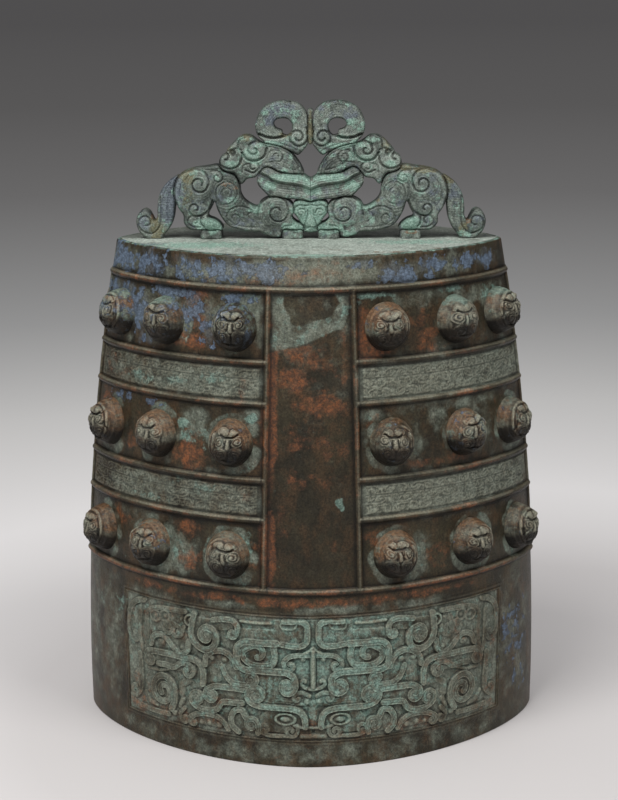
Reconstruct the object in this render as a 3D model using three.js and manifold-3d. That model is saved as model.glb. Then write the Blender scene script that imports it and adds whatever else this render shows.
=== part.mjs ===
// Bronze bell with a leaf-shaped section, a level rim, coiled-beast bosses and an openwork beast handle.
// Millimetres, +Z up. The origin lies on the rim plane under the middle of the bell, the front faces -Y.

import * as THREE from "three";
import { mergeVertices } from "three/addons/utils/BufferGeometryUtils.js";
import Module from "manifold-3d";

const wasm = await Module();
wasm.setup();
const { lerp } = THREE.MathUtils;

// Bell body
const BODY_HEIGHT = 520.5;
const RIM_HALF_WIDTH = 245;
const RIM_HALF_DEPTH = 188;
const CROWN_HALF_WIDTH = 204;
const CROWN_HALF_DEPTH = 143;
const WIDTH_SWELL = 12.5; // how far the side edges bow out at half height
const DEPTH_SWELL = -4; // the faces are slightly hollow from rim to crown
const SECTION_POWER = 1.8; // shape of the leaf section across the face
const CROWN_CURVE = 0.696; // how fast the section closes at the side edges, at the crown
const RIM_CURVE = 0.649; // and at the rim
const WALL = 9;
const CROWN_PLATE = 12;
const CROWN_ROUND = 3; // rounding of the crown's edge
const EDGE_WALL_RATIO = 1.6; // the wall is thicker where the two faces meet

// Raised ribs that divide the face, counted down from the crown
const CROWN_FIELD = 33.6; // crown to the first rib
const BOSS_ROW_HEIGHTS = [73.2, 77.4, 72.3];
const BAND_HEIGHTS = [41.9, 40.9]; // the two flat bands between the boss rows
const RIB_WIDTH = 8;
const RIB_RELIEF = 3.6;
const EDGE_RIB_WIDTH = 5;
const EDGE_RIB_RELIEF = 2.2;
const PANEL_HALF = 0.157; // half the middle panel, as a part of half a face
const EDGE_RIB_AT = 0.97; // the upright rib beside each side edge
const ORNAMENT_SHIFT = 5; // each face's ornament sits this far to one side of the middle

// Frieze of two mirrored beasts between the lowest rib and the rim
const FRIEZE_FOOT = 28; // rim to the frieze
const FRIEZE_HEAD = 26.2; // frieze to the lowest rib
const FRIEZE_SHIFT = 6; // its middle lies this far to one side
const RIBBON_RELIEF = 3;
const RIBBON_WIDTH = 7.6;
const RIBBON_TOP_WIDTH = 4.8;

// Bosses
const BOSS_PLACES = [0.283, 0.582, 0.838]; // outwards from the middle, as parts of half a face
const BOSS_DROP = 2; // below the middle of their row
const BOSS_FOOT_RADIUS = 23.5;
const BOSS_NECK_RADIUS = 20;
const BOSS_NECK_HEIGHT = 10.5; // up to the coil's upper edge
const BOSS_BROW_RADIUS = 16.5;
const BOSS_BROW_DROP = 8; // from the snout down to the brow
const BOSS_SNOUT_RADIUS = 9.5;
const BOSS_SNOUT_DROP = 2;
const BOSS_HEIGHT = 25.5;
const BOSS_TALL = 1.07; // the bosses are slightly taller than wide
const BOSS_SIDES = 10;

// Handle
const HANDLE_SHIFT = 2.5; // the handle stands this far to the right of the middle
const BEAST_DEPTH = 26;
const HEAD_DEPTH = 26;
const TAIL_DEPTH = 20;
const BAND_DEPTH = 28;
const CREST_DEPTH = 22;
const MASK_DEPTH = 30;
const PAD_DEPTH = 30;
const PAD_HEIGHT = 8.2;
const PAD_SPACING = 86; // from the fore pads out to the hind pads
const EDGE_ROUND = 1.2; // rounding of the handle's edges
const DISC_RELIEF = 2.5; // how far the scroll discs stand out on each face

const FIT = 0.3; // gap between neighbouring pieces

const bronze = (color, roughness) => new THREE.MeshStandardMaterial({ color, roughness, metalness: 0.55 });
const BODY_FINISH = bronze(0x4b4436, 0.62);
const BOSS_FINISH = bronze(0x6a6654, 0.6);
const HANDLE_FINISH = bronze(0x66746a, 0.66);
const CREST_FINISH = bronze(0x5c6670, 0.64);
const PAD_FINISH = bronze(0x9db5a2, 0.72);

// Closed geometry in and out of the boolean library

function toSolid(geometry) {
  const bare = geometry.clone();
  bare.deleteAttribute("normal");
  bare.deleteAttribute("uv");
  const merged = mergeVertices(bare, 1e-4);
  return new wasm.Manifold(new wasm.Mesh({
    numProp: 3,
    vertProperties: new Float32Array(merged.attributes.position.array),
    triVerts: new Uint32Array(merged.index.array),
  }));
}

function toGeometry(solid) {
  const mesh = solid.getMesh();
  const geometry = new THREE.BufferGeometry();
  geometry.setAttribute("position", new THREE.BufferAttribute(new Float32Array(mesh.vertProperties), 3));
  geometry.setIndex(new THREE.BufferAttribute(new Uint32Array(mesh.triVerts), 1));
  geometry.computeVertexNormals();
  return geometry;
}

// A cut can leave crumbs, so the piece is the largest body of what remains
function largest(solid) {
  const bodies = solid.decompose();
  return bodies.reduce((best, body) => (body.volume() > best.volume() ? body : best));
}

// Leaf section of the bell at height z: half width, half depth and curve, shrunk by an inset

function section(z, inset = 0) {
  const down = 1 - z / (BODY_HEIGHT - CROWN_ROUND);
  const bow = 4 * down * (1 - down);
  return {
    halfWidth: lerp(CROWN_HALF_WIDTH, RIM_HALF_WIDTH, down) + WIDTH_SWELL * bow - inset * EDGE_WALL_RATIO,
    halfDepth: lerp(CROWN_HALF_DEPTH, RIM_HALF_DEPTH, down) + DEPTH_SWELL * bow - inset,
    curve: lerp(CROWN_CURVE, RIM_CURVE, down),
  };
}

function sectionPoint({ halfWidth, halfDepth, curve }, angle) {
  const across = Math.sin(angle);
  const depth = Math.max(0, 1 - Math.abs(across) ** SECTION_POWER) ** curve;
  return new THREE.Vector2(halfWidth * across, -halfDepth * depth);
}

// Small steps from the middle of a face to its side edge, with the running length
function halfFace(z, inset = 0) {
  const shape = section(z, inset);
  const STEPS = 240;
  const walk = [];
  let length = 0;
  for (let i = 0; i <= STEPS; i++) {
    const point = sectionPoint(shape, (i / STEPS) * Math.PI / 2);
    if (i > 0) length += point.distanceTo(walk[i - 1].point);
    walk.push({ point, length });
  }
  return { walk, length };
}

// The point of one face at a length along the curve, less than 0 to the left of the middle
function walkTo({ walk, length }, along) {
  const target = Math.min(Math.abs(along), length);
  const at = Math.max(1, walk.findIndex((step) => step.length >= target - 1e-9));
  const before = walk[at - 1];
  const mix = (target - before.length) / (walk[at].length - before.length);
  const point = before.point.clone().lerp(walk[at].point, mix);
  return new THREE.Vector2(Math.sign(along) * point.x, point.y);
}

// Points of one face at given parts of its half length, -1 to 1, measured along the curve
function facePoints(z, parts, inset = 0) {
  const face = halfFace(z, inset);
  return parts.map((part) => walkTo(face, part * face.length + ORNAMENT_SHIFT * (1 - part ** 4)));
}

// Heights of the ribs, from the crown down, and which of them cross the middle panel

const RIB_HEIGHTS = [BODY_HEIGHT - CROWN_FIELD];
BOSS_ROW_HEIGHTS.forEach((row, i) => {
  RIB_HEIGHTS.push(RIB_HEIGHTS.at(-1) - row);
  if (i < BAND_HEIGHTS.length) RIB_HEIGHTS.push(RIB_HEIGHTS.at(-1) - BAND_HEIGHTS[i]);
});
const TOP_RIB = RIB_HEIGHTS[0];
const BOTTOM_RIB = RIB_HEIGHTS.at(-1);

// Columns of the face grid. Each upright rib takes a flat-topped set of columns.

const HALF_FACE = halfFace(BODY_HEIGHT / 2).length;
const RIB_STEP = RIB_WIDTH / 2 / HALF_FACE;
const EDGE_STEP = EDGE_RIB_WIDTH / 2 / HALF_FACE;
const PANEL_RIB = [
  [PANEL_HALF - RIB_STEP, 0], [PANEL_HALF - RIB_STEP / 2, 1],
  [PANEL_HALF + RIB_STEP / 2, 1], [PANEL_HALF + RIB_STEP, 0],
];
const EDGE_RIB = [[EDGE_RIB_AT - EDGE_STEP, 0], [EDGE_RIB_AT, 1], [EDGE_RIB_AT + EDGE_STEP, 0]];
const MIDDLE_COLUMN = PANEL_HALF / 2;
const PLAIN_COLUMNS = [0.25, 0.34, 0.44, 0.56, 0.68, 0.8, 0.9];

function faceColumns() {
  const right = [
    { part: MIDDLE_COLUMN },
    ...PANEL_RIB.map(([part, raised]) => ({ part, panel: raised })),
    ...PLAIN_COLUMNS.map((part) => ({ part })),
    ...EDGE_RIB.map(([part, raised]) => ({ part, edge: raised })),
    { part: 1, corner: true },
  ];
  const left = right.map((column) => ({ ...column, part: -column.part })).reverse();
  return [...left, { part: 0 }, ...right];
}
const COLUMNS = faceColumns();

// Rows of the face grid, from the rim up. Each rib takes four rows, two of them on its top.

const RIB_PROFILE = [[-0.5, 0], [-0.22, 1], [0.22, 1], [0.5, 0]]; // across the rib, as parts of its width

function faceRows() {
  const rows = [{ z: 0 }, { z: BOTTOM_RIB / 3 }, { z: BOTTOM_RIB * 2 / 3 }];
  for (const [i, z] of [...RIB_HEIGHTS].reverse().entries()) {
    for (const [offset, raised] of RIB_PROFILE) {
      rows.push({ z: z + offset * RIB_WIDTH, raised, full: i === 0 || i === RIB_HEIGHTS.length - 1 });
    }
    const above = RIB_HEIGHTS[RIB_HEIGHTS.length - 2 - i];
    if (above && i % 2 === 0) rows.push({ z: (z + above) / 2 });
  }
  rows.push({ z: BODY_HEIGHT - CROWN_ROUND });
  return rows;
}

function relief(row, column) {
  if (column.corner) return 0;
  const between = row.z > BOTTOM_RIB && row.z < TOP_RIB;
  const inPanel = Math.abs(column.part) < PANEL_HALF;
  const onEdge = Math.abs(column.part) > EDGE_RIB_AT;
  const level = row.raised && !onEdge && (row.full || !inPanel) ? RIB_RELIEF : 0;
  const upright = between && column.panel ? RIB_RELIEF * 0.8 : 0;
  const edge = between && column.edge ? EDGE_RIB_RELIEF : 0;
  return Math.max(level, upright, edge);
}

// One closed ring of points at a height: front face left to right, then the back face turned round
function ring(row, inset = 0, plain = false) {
  const parts = COLUMNS.map((column) => column.part);
  const front = facePoints(row.z, parts, inset).map((point, i, all) => {
    const tangent = all[Math.min(i + 1, all.length - 1)].clone().sub(all[Math.max(i - 1, 0)]).normalize();
    const push = plain ? 0 : relief(row, COLUMNS[i]);
    return new THREE.Vector3(point.x + tangent.y * push, point.y - tangent.x * push, row.top ?? row.z);
  });
  const back = front.slice(1, -1).map((point) => new THREE.Vector3(-point.x, -point.y, point.z));
  return [...front, ...back];
}

// Stacks rings into one closed body. The first and last rings are closed with flat caps.
function stack(rings) {
  const count = rings[0].length;
  const index = [];
  const quad = (a, b, c, d) => index.push(a, b, c, a, c, d);
  for (let r = 0; r < rings.length - 1; r++) {
    for (let k = 0; k < count; k++) {
      const next = (k + 1) % count;
      quad(r * count + k, r * count + next, (r + 1) * count + next, (r + 1) * count + k);
    }
  }
  const half = count / 2;
  const cap = (base, up) => {
    for (let k = 0; k < half; k++) {
      const corners = [k, k + 1, (count - k - 1) % count, (count - k) % count].map((v) => base + v);
      if (!up) corners.reverse();
      const [a, b, c, d] = corners;
      if (a !== b && b !== c && a !== c) index.push(a, b, c);
      if (a !== c && c !== d && a !== d) index.push(a, c, d);
    }
  };
  cap(0, false);
  cap((rings.length - 1) * count, true);
  const geometry = new THREE.BufferGeometry();
  const flat = rings.flat().flatMap((point) => point.toArray());
  geometry.setAttribute("position", new THREE.Float32BufferAttribute(flat, 3));
  geometry.setIndex(index);
  return toSolid(geometry);
}

// The outside of the bell, with its ribs, as a full solid. A grown copy trims the bosses.
function bellBlank(growth = 0) {
  const rings = faceRows().map((row) => ring(row, -growth));
  const crown = { z: BODY_HEIGHT - CROWN_ROUND, top: BODY_HEIGHT };
  rings.push(ring(crown, CROWN_ROUND - growth, true));
  return stack(rings);
}

function bellHollow() {
  const top = BODY_HEIGHT - CROWN_PLATE;
  const BELOW_RIM = 20;
  const heights = [0, top / 3, top * 2 / 3, top];
  const rings = heights.map((z) => ring({ z }, WALL, true));
  rings.unshift(ring({ z: 0, top: -BELOW_RIM }, WALL, true));
  return stack(rings);
}

// Frieze: flat-topped ribbons of bronze that stand on the wall. Each runs through points
// [out from the frieze's middle, up from its foot] and is mirrored, except for the post.

const FRIEZE_DRAWN_HEIGHT = 127;
const FRIEZE_POST = [[0, 56], [0, 93]];
const FRIEZE_RIBBONS = [
  [[5.5, 118], [6, 104], [12, 99], [70, 99.6], [78, 90], [76, 75], [68, 71], [28, 71], [19, 62], [22, 52]],
  [[8.5, 15], [11, 28], [22, 33.7], [56, 34.5], [67.5, 43], [58, 52.4]],
  [[72, 49.7], [106, 49], [110, 34]],
  [[73, 35], [95, 33], [104, 23], [124, 23.6], [130.4, 36]],
  [[80, 72], [86, 84], [108, 84], [115.5, 70]],
  [[118.5, 49], [120, 66], [130, 72.5], [180, 72], [193, 66]],
  [[128.5, 121], [130, 97], [116, 86], [102, 93], [104, 108]],
  [[133, 91], [140, 77], [166, 90], [184, 79]],
  [[195, 124], [214, 112], [216, 81]],
  [[203, 64], [201, 36], [209, 18]],
  [[157, 15], [152.6, 34], [164, 46.6], [180, 42], [177, 27]],
];

// A point of the front face at a length along its curve, pushed outwards
function facePoint(along, z, push) {
  const STEP = 1;
  const face = halfFace(z);
  const [before, point, after] = [along - STEP, along, along + STEP].map((run) => walkTo(face, run));
  const tangent = after.sub(before).normalize();
  return new THREE.Vector3(point.x + tangent.y * push, point.y - tangent.x * push, z);
}

function ribbon(points, side) {
  const SUNK = 3;
  const MITRE_LIMIT = 0.5;
  const scale = (BOTTOM_RIB - FRIEZE_FOOT - FRIEZE_HEAD) / FRIEZE_DRAWN_HEIGHT;
  const path = points.map(([out, up]) => new THREE.Vector2(side * out, up).multiplyScalar(scale));
  const middle = new THREE.Vector2(FRIEZE_SHIFT, FRIEZE_FOOT);
  const profile = [
    [RIBBON_WIDTH / 2, -SUNK], [RIBBON_TOP_WIDTH / 2, RIBBON_RELIEF],
    [-RIBBON_TOP_WIDTH / 2, RIBBON_RELIEF], [-RIBBON_WIDTH / 2, -SUNK],
  ];
  return stack(path.map((point, i) => {
    const arriving = point.clone().sub(path[i - 1] ?? point).normalize();
    const leaving = (path[i + 1] ?? point).clone().sub(point).normalize();
    const along = arriving.clone().add(leaving).normalize();
    const mitre = Math.max(along.dot(i > 0 ? arriving : leaving), MITRE_LIMIT);
    const across = new THREE.Vector2(-along.y, along.x).divideScalar(mitre);
    return profile.map(([offset, push]) => {
      const at = across.clone().multiplyScalar(offset).add(point).add(middle);
      return facePoint(at.x, at.y, push);
    });
  }));
}

function frieze() {
  const mirrored = [-1, 1].flatMap((side) => FRIEZE_RIBBONS.map((points) => ribbon(points, side)));
  const front = wasm.Manifold.union([...mirrored, ribbon(FRIEZE_POST, 1)]);
  return front.add(front.rotate([0, 0, 180]));
}

const bellBody = () => bellBlank().add(frieze()).subtract(bellHollow());

// Boss: a coiled beast in the shape of a low dome, seated against the wall

function bossBlank() {
  const SUNK = 9;
  const profile = [
    [0, -SUNK],
    [BOSS_FOOT_RADIUS, -SUNK],
    [BOSS_FOOT_RADIUS, 0],
    [BOSS_NECK_RADIUS, BOSS_NECK_HEIGHT],
    [BOSS_BROW_RADIUS, BOSS_HEIGHT - BOSS_BROW_DROP],
    [BOSS_SNOUT_RADIUS, BOSS_HEIGHT - BOSS_SNOUT_DROP],
    [0, BOSS_HEIGHT],
  ].map(([radius, height]) => new THREE.Vector2(radius, height));
  const geometry = new THREE.LatheGeometry(profile, BOSS_SIDES);
  geometry.rotateX(Math.PI / 2);
  geometry.scale(1, BOSS_TALL, 1);
  return toSolid(geometry);
}

// Place and direction of a boss on the front face: its seat on the wall and the way it points
function bossSeat(part, z) {
  const STEP = 0.01;
  const [left, seat, right] = facePoints(z, [part - STEP, part, part + STEP]);
  const [higher] = facePoints(z + 2, [part]);
  const along = new THREE.Vector3(right.x - left.x, right.y - left.y, 0);
  const upwards = new THREE.Vector3(higher.x - seat.x, higher.y - seat.y, 2);
  const out = along.cross(upwards).normalize();
  return { seat: new THREE.Vector3(seat.x, seat.y, z), out };
}

function makeBoss(name, part, z, wall, blank) {
  const { seat, out } = bossSeat(part, z);
  const mesh = new THREE.Mesh(new THREE.BufferGeometry(), BOSS_FINISH);
  mesh.name = name;
  mesh.position.copy(seat);
  mesh.up.set(0, 0, 1);
  mesh.lookAt(seat.clone().add(out));
  mesh.updateMatrix();
  const toLocal = mesh.matrix.clone().invert();
  mesh.geometry = toGeometry(largest(blank.subtract(wall.transform(toLocal.elements))));
  return mesh;
}

function bosses() {
  const group = new THREE.Group();
  const wall = bellBlank(FIT);
  const blank = bossBlank();
  for (const face of ["front", "back"]) {
    const turned = new THREE.Group();
    turned.rotation.z = face === "front" ? 0 : Math.PI;
    BOSS_ROW_HEIGHTS.forEach((_, row) => {
      const z = (RIB_HEIGHTS[row * 2] + RIB_HEIGHTS[row * 2 + 1]) / 2 - BOSS_DROP;
      for (const side of [-1, 1]) {
        BOSS_PLACES.forEach((place, i) => {
          const name = `boss_${face}_${side < 0 ? "left" : "right"}_row${row + 1}_${i + 1}`;
          turned.add(makeBoss(name, side * place, z, wall, blank));
        });
      }
    });
    group.add(turned);
  }
  return group;
}

// Handle outlines: [out from the handle's middle, up from the crown], as smooth closed curves.
// They are drawn for one half and mirrored for the other.

const PAW = PAD_HEIGHT + FIT;

const TAIL = [
  [139, 66], [145.6, 62.9], [154, 55.5], [159.8, 44.5], [161.6, 32], [161.9, 23], [164.8, 18.9],
  [167.5, 23.5], [170.5, 28.6], [175, 30.8], [180.6, 27.6], [184.4, 18.3], [181.9, 8.3], [176, 1.5],
  [171, -1.5], [159, -1.5], [154.8, 3.9], [148.8, 11.4], [144.8, 20.8], [143, 32], [142.2, 42],
  [141, 55],
];
const BEAST = [
  [138.5, 66], [131.3, 71], [122.5, 73.6], [107.5, 75.8], [96.3, 77], [91.9, 71], [83.8, 68.3],
  [78.1, 64.5], [74.4, 56.4], [73.5, 47], [68.8, 39.5], [56.5, 33.3], [53.1, 38.3], [46.3, 42.6],
  [37.5, 44.1], [26.3, 42], [18.8, 35.8], [16.9, 29.5], [19.4, 22], [14.4, 17], [8.1, 14.5],
  [6.9, PAW], [28.8, PAW], [31.3, 2], [40, 1.4], [47.5, 3.9], [53.8, 7], [65, 7.4], [77.5, 10.1],
  [87.5, 14.5], [94.4, 23.3], [98.1, 30.8], [101, 38.9], [104, 32.6], [108.1, 23.3], [101.3, 20.1],
  [95.6, 15.8], [92.9, 11.6], [93.6, PAW], [116.9, PAW], [127.5, 9.8], [133.5, 16.4], [134, 24.5],
  [138.1, 30.8], [142, 38.9], [143.8, 49.5], [141.9, 58.9],
];
const HEAD = [
  [94.4, 74.5], [95.6, 79.5], [93.8, 85.8], [88.8, 89.5], [86.9, 93.3], [81.9, 98.9], [76.9, 103.9],
  [70, 108], [62.5, 107.6], [56.3, 103.3], [50.6, 100.1], [40, 98], [30, 95.1], [20, 89.5],
  [13.1, 81.4], [9, 74.5], [7.1, 68], [15, 67.4], [32.5, 69.9], [41.3, 74.5], [47.5, 74.8],
  [51, 71.4], [54.4, 67.6], [57.5, 64.5], [66.3, 62.6], [69.4, 59.3], [72.5, 57.3], [76.3, 63.3],
  [80, 68.9], [86.3, 69.8],
];
const BAND = [
  [-4, 62.5], [0, 62.6], [3.8, 64.5], [7.5, 67], [21.3, 67.6], [33.1, 69.5], [41.9, 73.9],
  [47.5, 74.3], [51.9, 70.8], [56, 63.3], [54.8, 56.4], [50, 50.8], [43.8, 44.8], [37.5, 43],
  [26.3, 42], [12.5, 41], [3.8, 39.5], [0, 38.5], [-4, 38.3],
];
const CREST = [
  [49.4, 102], [54.4, 107], [57.1, 114.5], [56.9, 122], [51.9, 133.3], [42.5, 140.6], [28.8, 143.5],
  [13.8, 141.2], [6.3, 135.2], [2.8, 127.5], [2.3, 119.5], [2.6, 108.3], [2.3, 99.5], [6.9, 92.6],
  [12.8, 87.4], [20, 90.8], [31.3, 95.8], [47.5, 99.6],
];
const CREST_EYE = [
  [38.1, 119.5], [35, 123.9], [28.8, 125.4], [22.5, 123.9], [19, 118.9], [20, 112], [23.8, 107.6],
  [28.8, 108.9], [29.8, 112.6], [35.6, 115.1],
];
const MASK = [
  [0, 38], [10, 40], [17, 38], [18.5, 33], [17.5, 27], [13, 21], [9, 14], [7, 8], [0, 6.5], [-7, 8],
  [-9, 14], [-13, 21], [-17.5, 27], [-18.5, 33], [-17, 38], [-10, 40],
];
const BRIDGE = [[-1.6, 99], [1.6, 99], [1.9, 128], [3, 133], [0, 135], [-3, 133], [-1.9, 128]];
const FORE_PAD = [
  [9, -1], [19, -1.2], [29, -1], [30, PAD_HEIGHT / 2], [29, PAD_HEIGHT], [19, PAD_HEIGHT], [9, PAD_HEIGHT],
  [8, PAD_HEIGHT / 2],
];
const HIND_PAD = FORE_PAD.map(([out, up]) => [out + PAD_SPACING, up]);

// Scroll discs: middle [out, up] and radius
const HAUNCH_DISC = [121.5, 55.5, 17];
const SHOULDER_DISC = [38.5, 27.5, 15];
const EAR_DISC = [58.5, 90, 9.5];
const SNOUT_DISC = [84.5, 80, 8.5];

function curveThrough(points) {
  const knots = points.map(([out, up]) => new THREE.Vector3(out, up, 0));
  const spline = new THREE.CatmullRomCurve3(knots, true, "centripetal");
  return spline.getPoints(points.length * 2).slice(0, -1).map(({ x, y }) => new THREE.Vector2(x, y));
}

// A plate of the handle, standing on the crown and spreading evenly to front and back
function plate(outline, depth, { round = EDGE_ROUND, hole = null, mirrored = false } = {}) {
  const shape = new THREE.Shape(curveThrough(outline));
  if (hole) shape.holes.push(new THREE.Path(curveThrough(hole)));
  const geometry = new THREE.ExtrudeGeometry(shape, {
    depth: depth - 2 * round,
    bevelThickness: round,
    bevelSize: round,
    bevelOffset: -round,
    bevelSegments: 1,
  });
  geometry.translate(0, 0, round - depth / 2);
  geometry.rotateX(Math.PI / 2);
  const solid = toSolid(geometry);
  return mirrored ? solid.mirror([1, 0, 0]) : solid;
}

// The space that a plate takes up, with the fitting gap round it, right through the handle
function clearance(outline, mirrored = false) {
  const THROUGH = 80;
  const shape = new THREE.Shape(curveThrough(outline));
  const geometry = new THREE.ExtrudeGeometry(shape, {
    depth: THROUGH, bevelThickness: FIT, bevelSize: FIT, bevelOffset: 0, bevelSegments: 1,
  });
  geometry.translate(0, 0, -THROUGH / 2);
  geometry.rotateX(Math.PI / 2);
  const solid = toSolid(geometry);
  return mirrored ? solid.mirror([1, 0, 0]) : solid;
}

// A domed disc through the plate, for the scrolls of haunch, shoulder, ear and snout
function disc([out, up, radius], depth, mirrored = false) {
  const half = depth / 2;
  const profile = [
    [0, -half - DISC_RELIEF], [radius * 0.75, -half - DISC_RELIEF * 0.6], [radius, -half + EDGE_ROUND],
    [radius, half - EDGE_ROUND], [radius * 0.75, half + DISC_RELIEF * 0.6], [0, half + DISC_RELIEF],
  ].map(([r, y]) => new THREE.Vector2(r, y));
  const DISC_SIDES = 12;
  const geometry = new THREE.LatheGeometry(profile, DISC_SIDES);
  geometry.translate(mirrored ? -out : out, 0, up);
  return toSolid(geometry);
}

function handle() {
  const group = new THREE.Group();
  group.position.set(HANDLE_SHIFT, 0, BODY_HEIGHT);
  const add = (name, solid, finish) => {
    const standing = solid.trimByPlane([0, 0, 1], FIT); // clear of the crown
    const mesh = new THREE.Mesh(toGeometry(largest(standing)), finish);
    mesh.name = name;
    group.add(mesh);
  };
  for (const side of ["right", "left"]) {
    const mirrored = side === "left";
    const outwards = [mirrored ? -1 : 1, 0, 0];
    const solid = (outline, depth, more = {}) =>
      plate(outline, depth, { mirrored, ...more }).trimByPlane(outwards, FIT / 2);
    const room = (outline) => clearance(outline, mirrored);
    const boss = (place, depth) => disc(place, depth, mirrored);
    const pads = { fore: FORE_PAD, hind: HIND_PAD };
    for (const [which, outline] of Object.entries(pads)) {
      add(`${which}_paw_pad_${side}`, solid(outline, PAD_DEPTH, { round: 1 }), PAD_FINISH);
    }
    const beast = solid(BEAST, BEAST_DEPTH)
      .add(boss(HAUNCH_DISC, BEAST_DEPTH))
      .add(boss(SHOULDER_DISC, BEAST_DEPTH))
      .subtract(room(FORE_PAD))
      .subtract(room(HIND_PAD));
    add(`beast_${side}`, beast, HANDLE_FINISH);
    add(`tail_${side}`, solid(TAIL, TAIL_DEPTH).subtract(room(BEAST)), CREST_FINISH);
    add(`neck_band_${side}`, solid(BAND, BAND_DEPTH).subtract(room(BEAST)), HANDLE_FINISH);
    const head = solid(HEAD, HEAD_DEPTH)
      .add(boss(EAR_DISC, HEAD_DEPTH))
      .add(boss(SNOUT_DISC, HEAD_DEPTH))
      .subtract(room(BEAST))
      .subtract(room(BAND));
    add(`head_${side}`, head, HANDLE_FINISH);
    const crest = solid(CREST, CREST_DEPTH, { hole: CREST_EYE }).subtract(room(HEAD));
    add(`crest_scroll_${side}`, crest, CREST_FINISH);
  }
  const both = (outline) => clearance(outline).add(clearance(outline, true));
  const mask = plate(MASK, MASK_DEPTH).subtract(both(BEAST)).subtract(both(BAND)).subtract(both(FORE_PAD));
  add("mask", mask, HANDLE_FINISH);
  add("crest_bridge", plate(BRIDGE, CREST_DEPTH, { round: 0.8 }).subtract(both(CREST)), PAD_FINISH);
  return group;
}

// The whole bell

const bell = new THREE.Group();
const body = new THREE.Mesh(toGeometry(bellBody()), BODY_FINISH);
body.name = "bell_body";
bell.add(body, bosses(), handle());

export default bell;
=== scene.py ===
# A large bronze bell of the flat-bottomed kind that hangs from an openwork handle and is struck from
# outside. It was cast in tin bronze in a clay mould of many pieces, and has turned brown, green, red and
# blue in the ground. Lengths are in millimetres, and in metres for the lamps and the camera. The front faces
# -Y and +Z is up.

import bpy
import math
import numpy as np
from mathutils import Matrix


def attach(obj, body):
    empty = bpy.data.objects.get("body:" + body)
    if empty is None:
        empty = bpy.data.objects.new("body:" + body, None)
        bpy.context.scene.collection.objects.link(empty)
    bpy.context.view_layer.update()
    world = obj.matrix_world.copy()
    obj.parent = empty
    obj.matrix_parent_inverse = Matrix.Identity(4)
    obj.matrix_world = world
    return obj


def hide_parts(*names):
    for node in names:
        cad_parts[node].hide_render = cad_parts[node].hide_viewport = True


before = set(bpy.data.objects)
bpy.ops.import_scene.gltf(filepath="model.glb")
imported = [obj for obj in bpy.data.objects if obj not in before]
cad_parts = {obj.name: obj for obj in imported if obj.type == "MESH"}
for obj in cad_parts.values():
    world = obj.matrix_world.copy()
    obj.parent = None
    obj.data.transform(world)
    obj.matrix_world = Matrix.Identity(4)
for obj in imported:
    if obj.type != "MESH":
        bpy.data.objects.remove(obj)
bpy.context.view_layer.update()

# Bell wall: one shell of cast tin bronze with a leaf-shaped section, poured mouth upwards. The ribs, the fine
# ornament of the two narrow bands and the beast panel were pressed into the mould, so they are one with it.
# Each face is made here in four pieces that meet under ribs and at the middle.

MM = 0.001
BODY_HEIGHT = 520.5
CROWN_ROUND = 3.0
SHOULDER = BODY_HEIGHT - CROWN_ROUND
CROWN_HALF_WIDE, RIM_HALF_WIDE, WIDE_BOW = 204, 245, 12.5
CROWN_HALF_DEEP, RIM_HALF_DEEP, DEEP_BOW = 143, 188, 4
CROWN_CURVE, RIM_CURVE = 0.696, 0.649
SECTION_POWER = 1.8
CORNER_INSET = 1.6
ROW_SAMPLES = 1400
# The ornament of the photographed bell lies a little to the right of the wall's middle
ORNAMENT_SHIFT = 5.0
RIBS = [486.9, 413.7, 371.8, 294.4, 253.5, 181.2]
RIB_HALF, RIB_HIGH = 3.5, 3.7
UPRIGHT_HALF, UPRIGHT_HIGH = 3.4, 2.9
EDGE_RIB_HALF, EDGE_RIB_HIGH = 2.6, 2.2
NARROW_BANDS = [(RIBS[2], RIBS[1]), (RIBS[4], RIBS[3])]
BAND_MARGIN = 5.6
# Places of the upright ribs as a part of the way from the middle to the bell's pointed side
PANEL_PART = 0.157
EDGE_PART = 0.97


def lerp(a, b, t):
    return a + (b - a) * t


def smooth(low, high, x):
    t = np.clip((x - low) / (high - low), 0, 1)
    return t * t * (3 - 2 * t)


def leaf(z, inset=0.0):
    """Half width, half depth and closing curve of the bell's section at height z."""
    down = 1 - z / SHOULDER
    bow = 4 * down * (1 - down)
    return (
        lerp(CROWN_HALF_WIDE, RIM_HALF_WIDE, down) + WIDE_BOW * bow - inset * CORNER_INSET,
        lerp(CROWN_HALF_DEEP, RIM_HALF_DEEP, down) - DEEP_BOW * bow - inset,
        lerp(CROWN_CURVE, RIM_CURVE, down),
    )


def face_row(z, parts, inset=0.0):
    """A row of the front face at height z: x, y and the length along the curve from its middle."""
    wide, deep, curve = leaf(z, inset)
    turn = np.linspace(0, math.pi / 2, ROW_SAMPLES)
    x = wide * np.sin(turn)
    y = -deep * np.maximum(0, 1 - np.sin(turn) ** SECTION_POWER) ** curve
    run = np.concatenate([[0], np.cumsum(np.hypot(np.diff(x), np.diff(y)))])
    at = parts * run[-1] + ORNAMENT_SHIFT * (1 - parts**4)
    reach = np.minimum(np.abs(at), run[-1])
    return np.sign(at) * np.interp(reach, run, x), np.interp(reach, run, y), at


def face_grid(heights, parts, inset=0.0):
    """Points of the front face as rows by columns, and the length along the curve at each."""
    points = np.empty((len(heights), len(parts), 3))
    along = np.empty((len(heights), len(parts)))
    for i, z in enumerate(heights):
        points[i, :, 0], points[i, :, 1], along[i] = face_row(z, parts, inset)
        points[i, :, 2] = z
    return points, along


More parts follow.
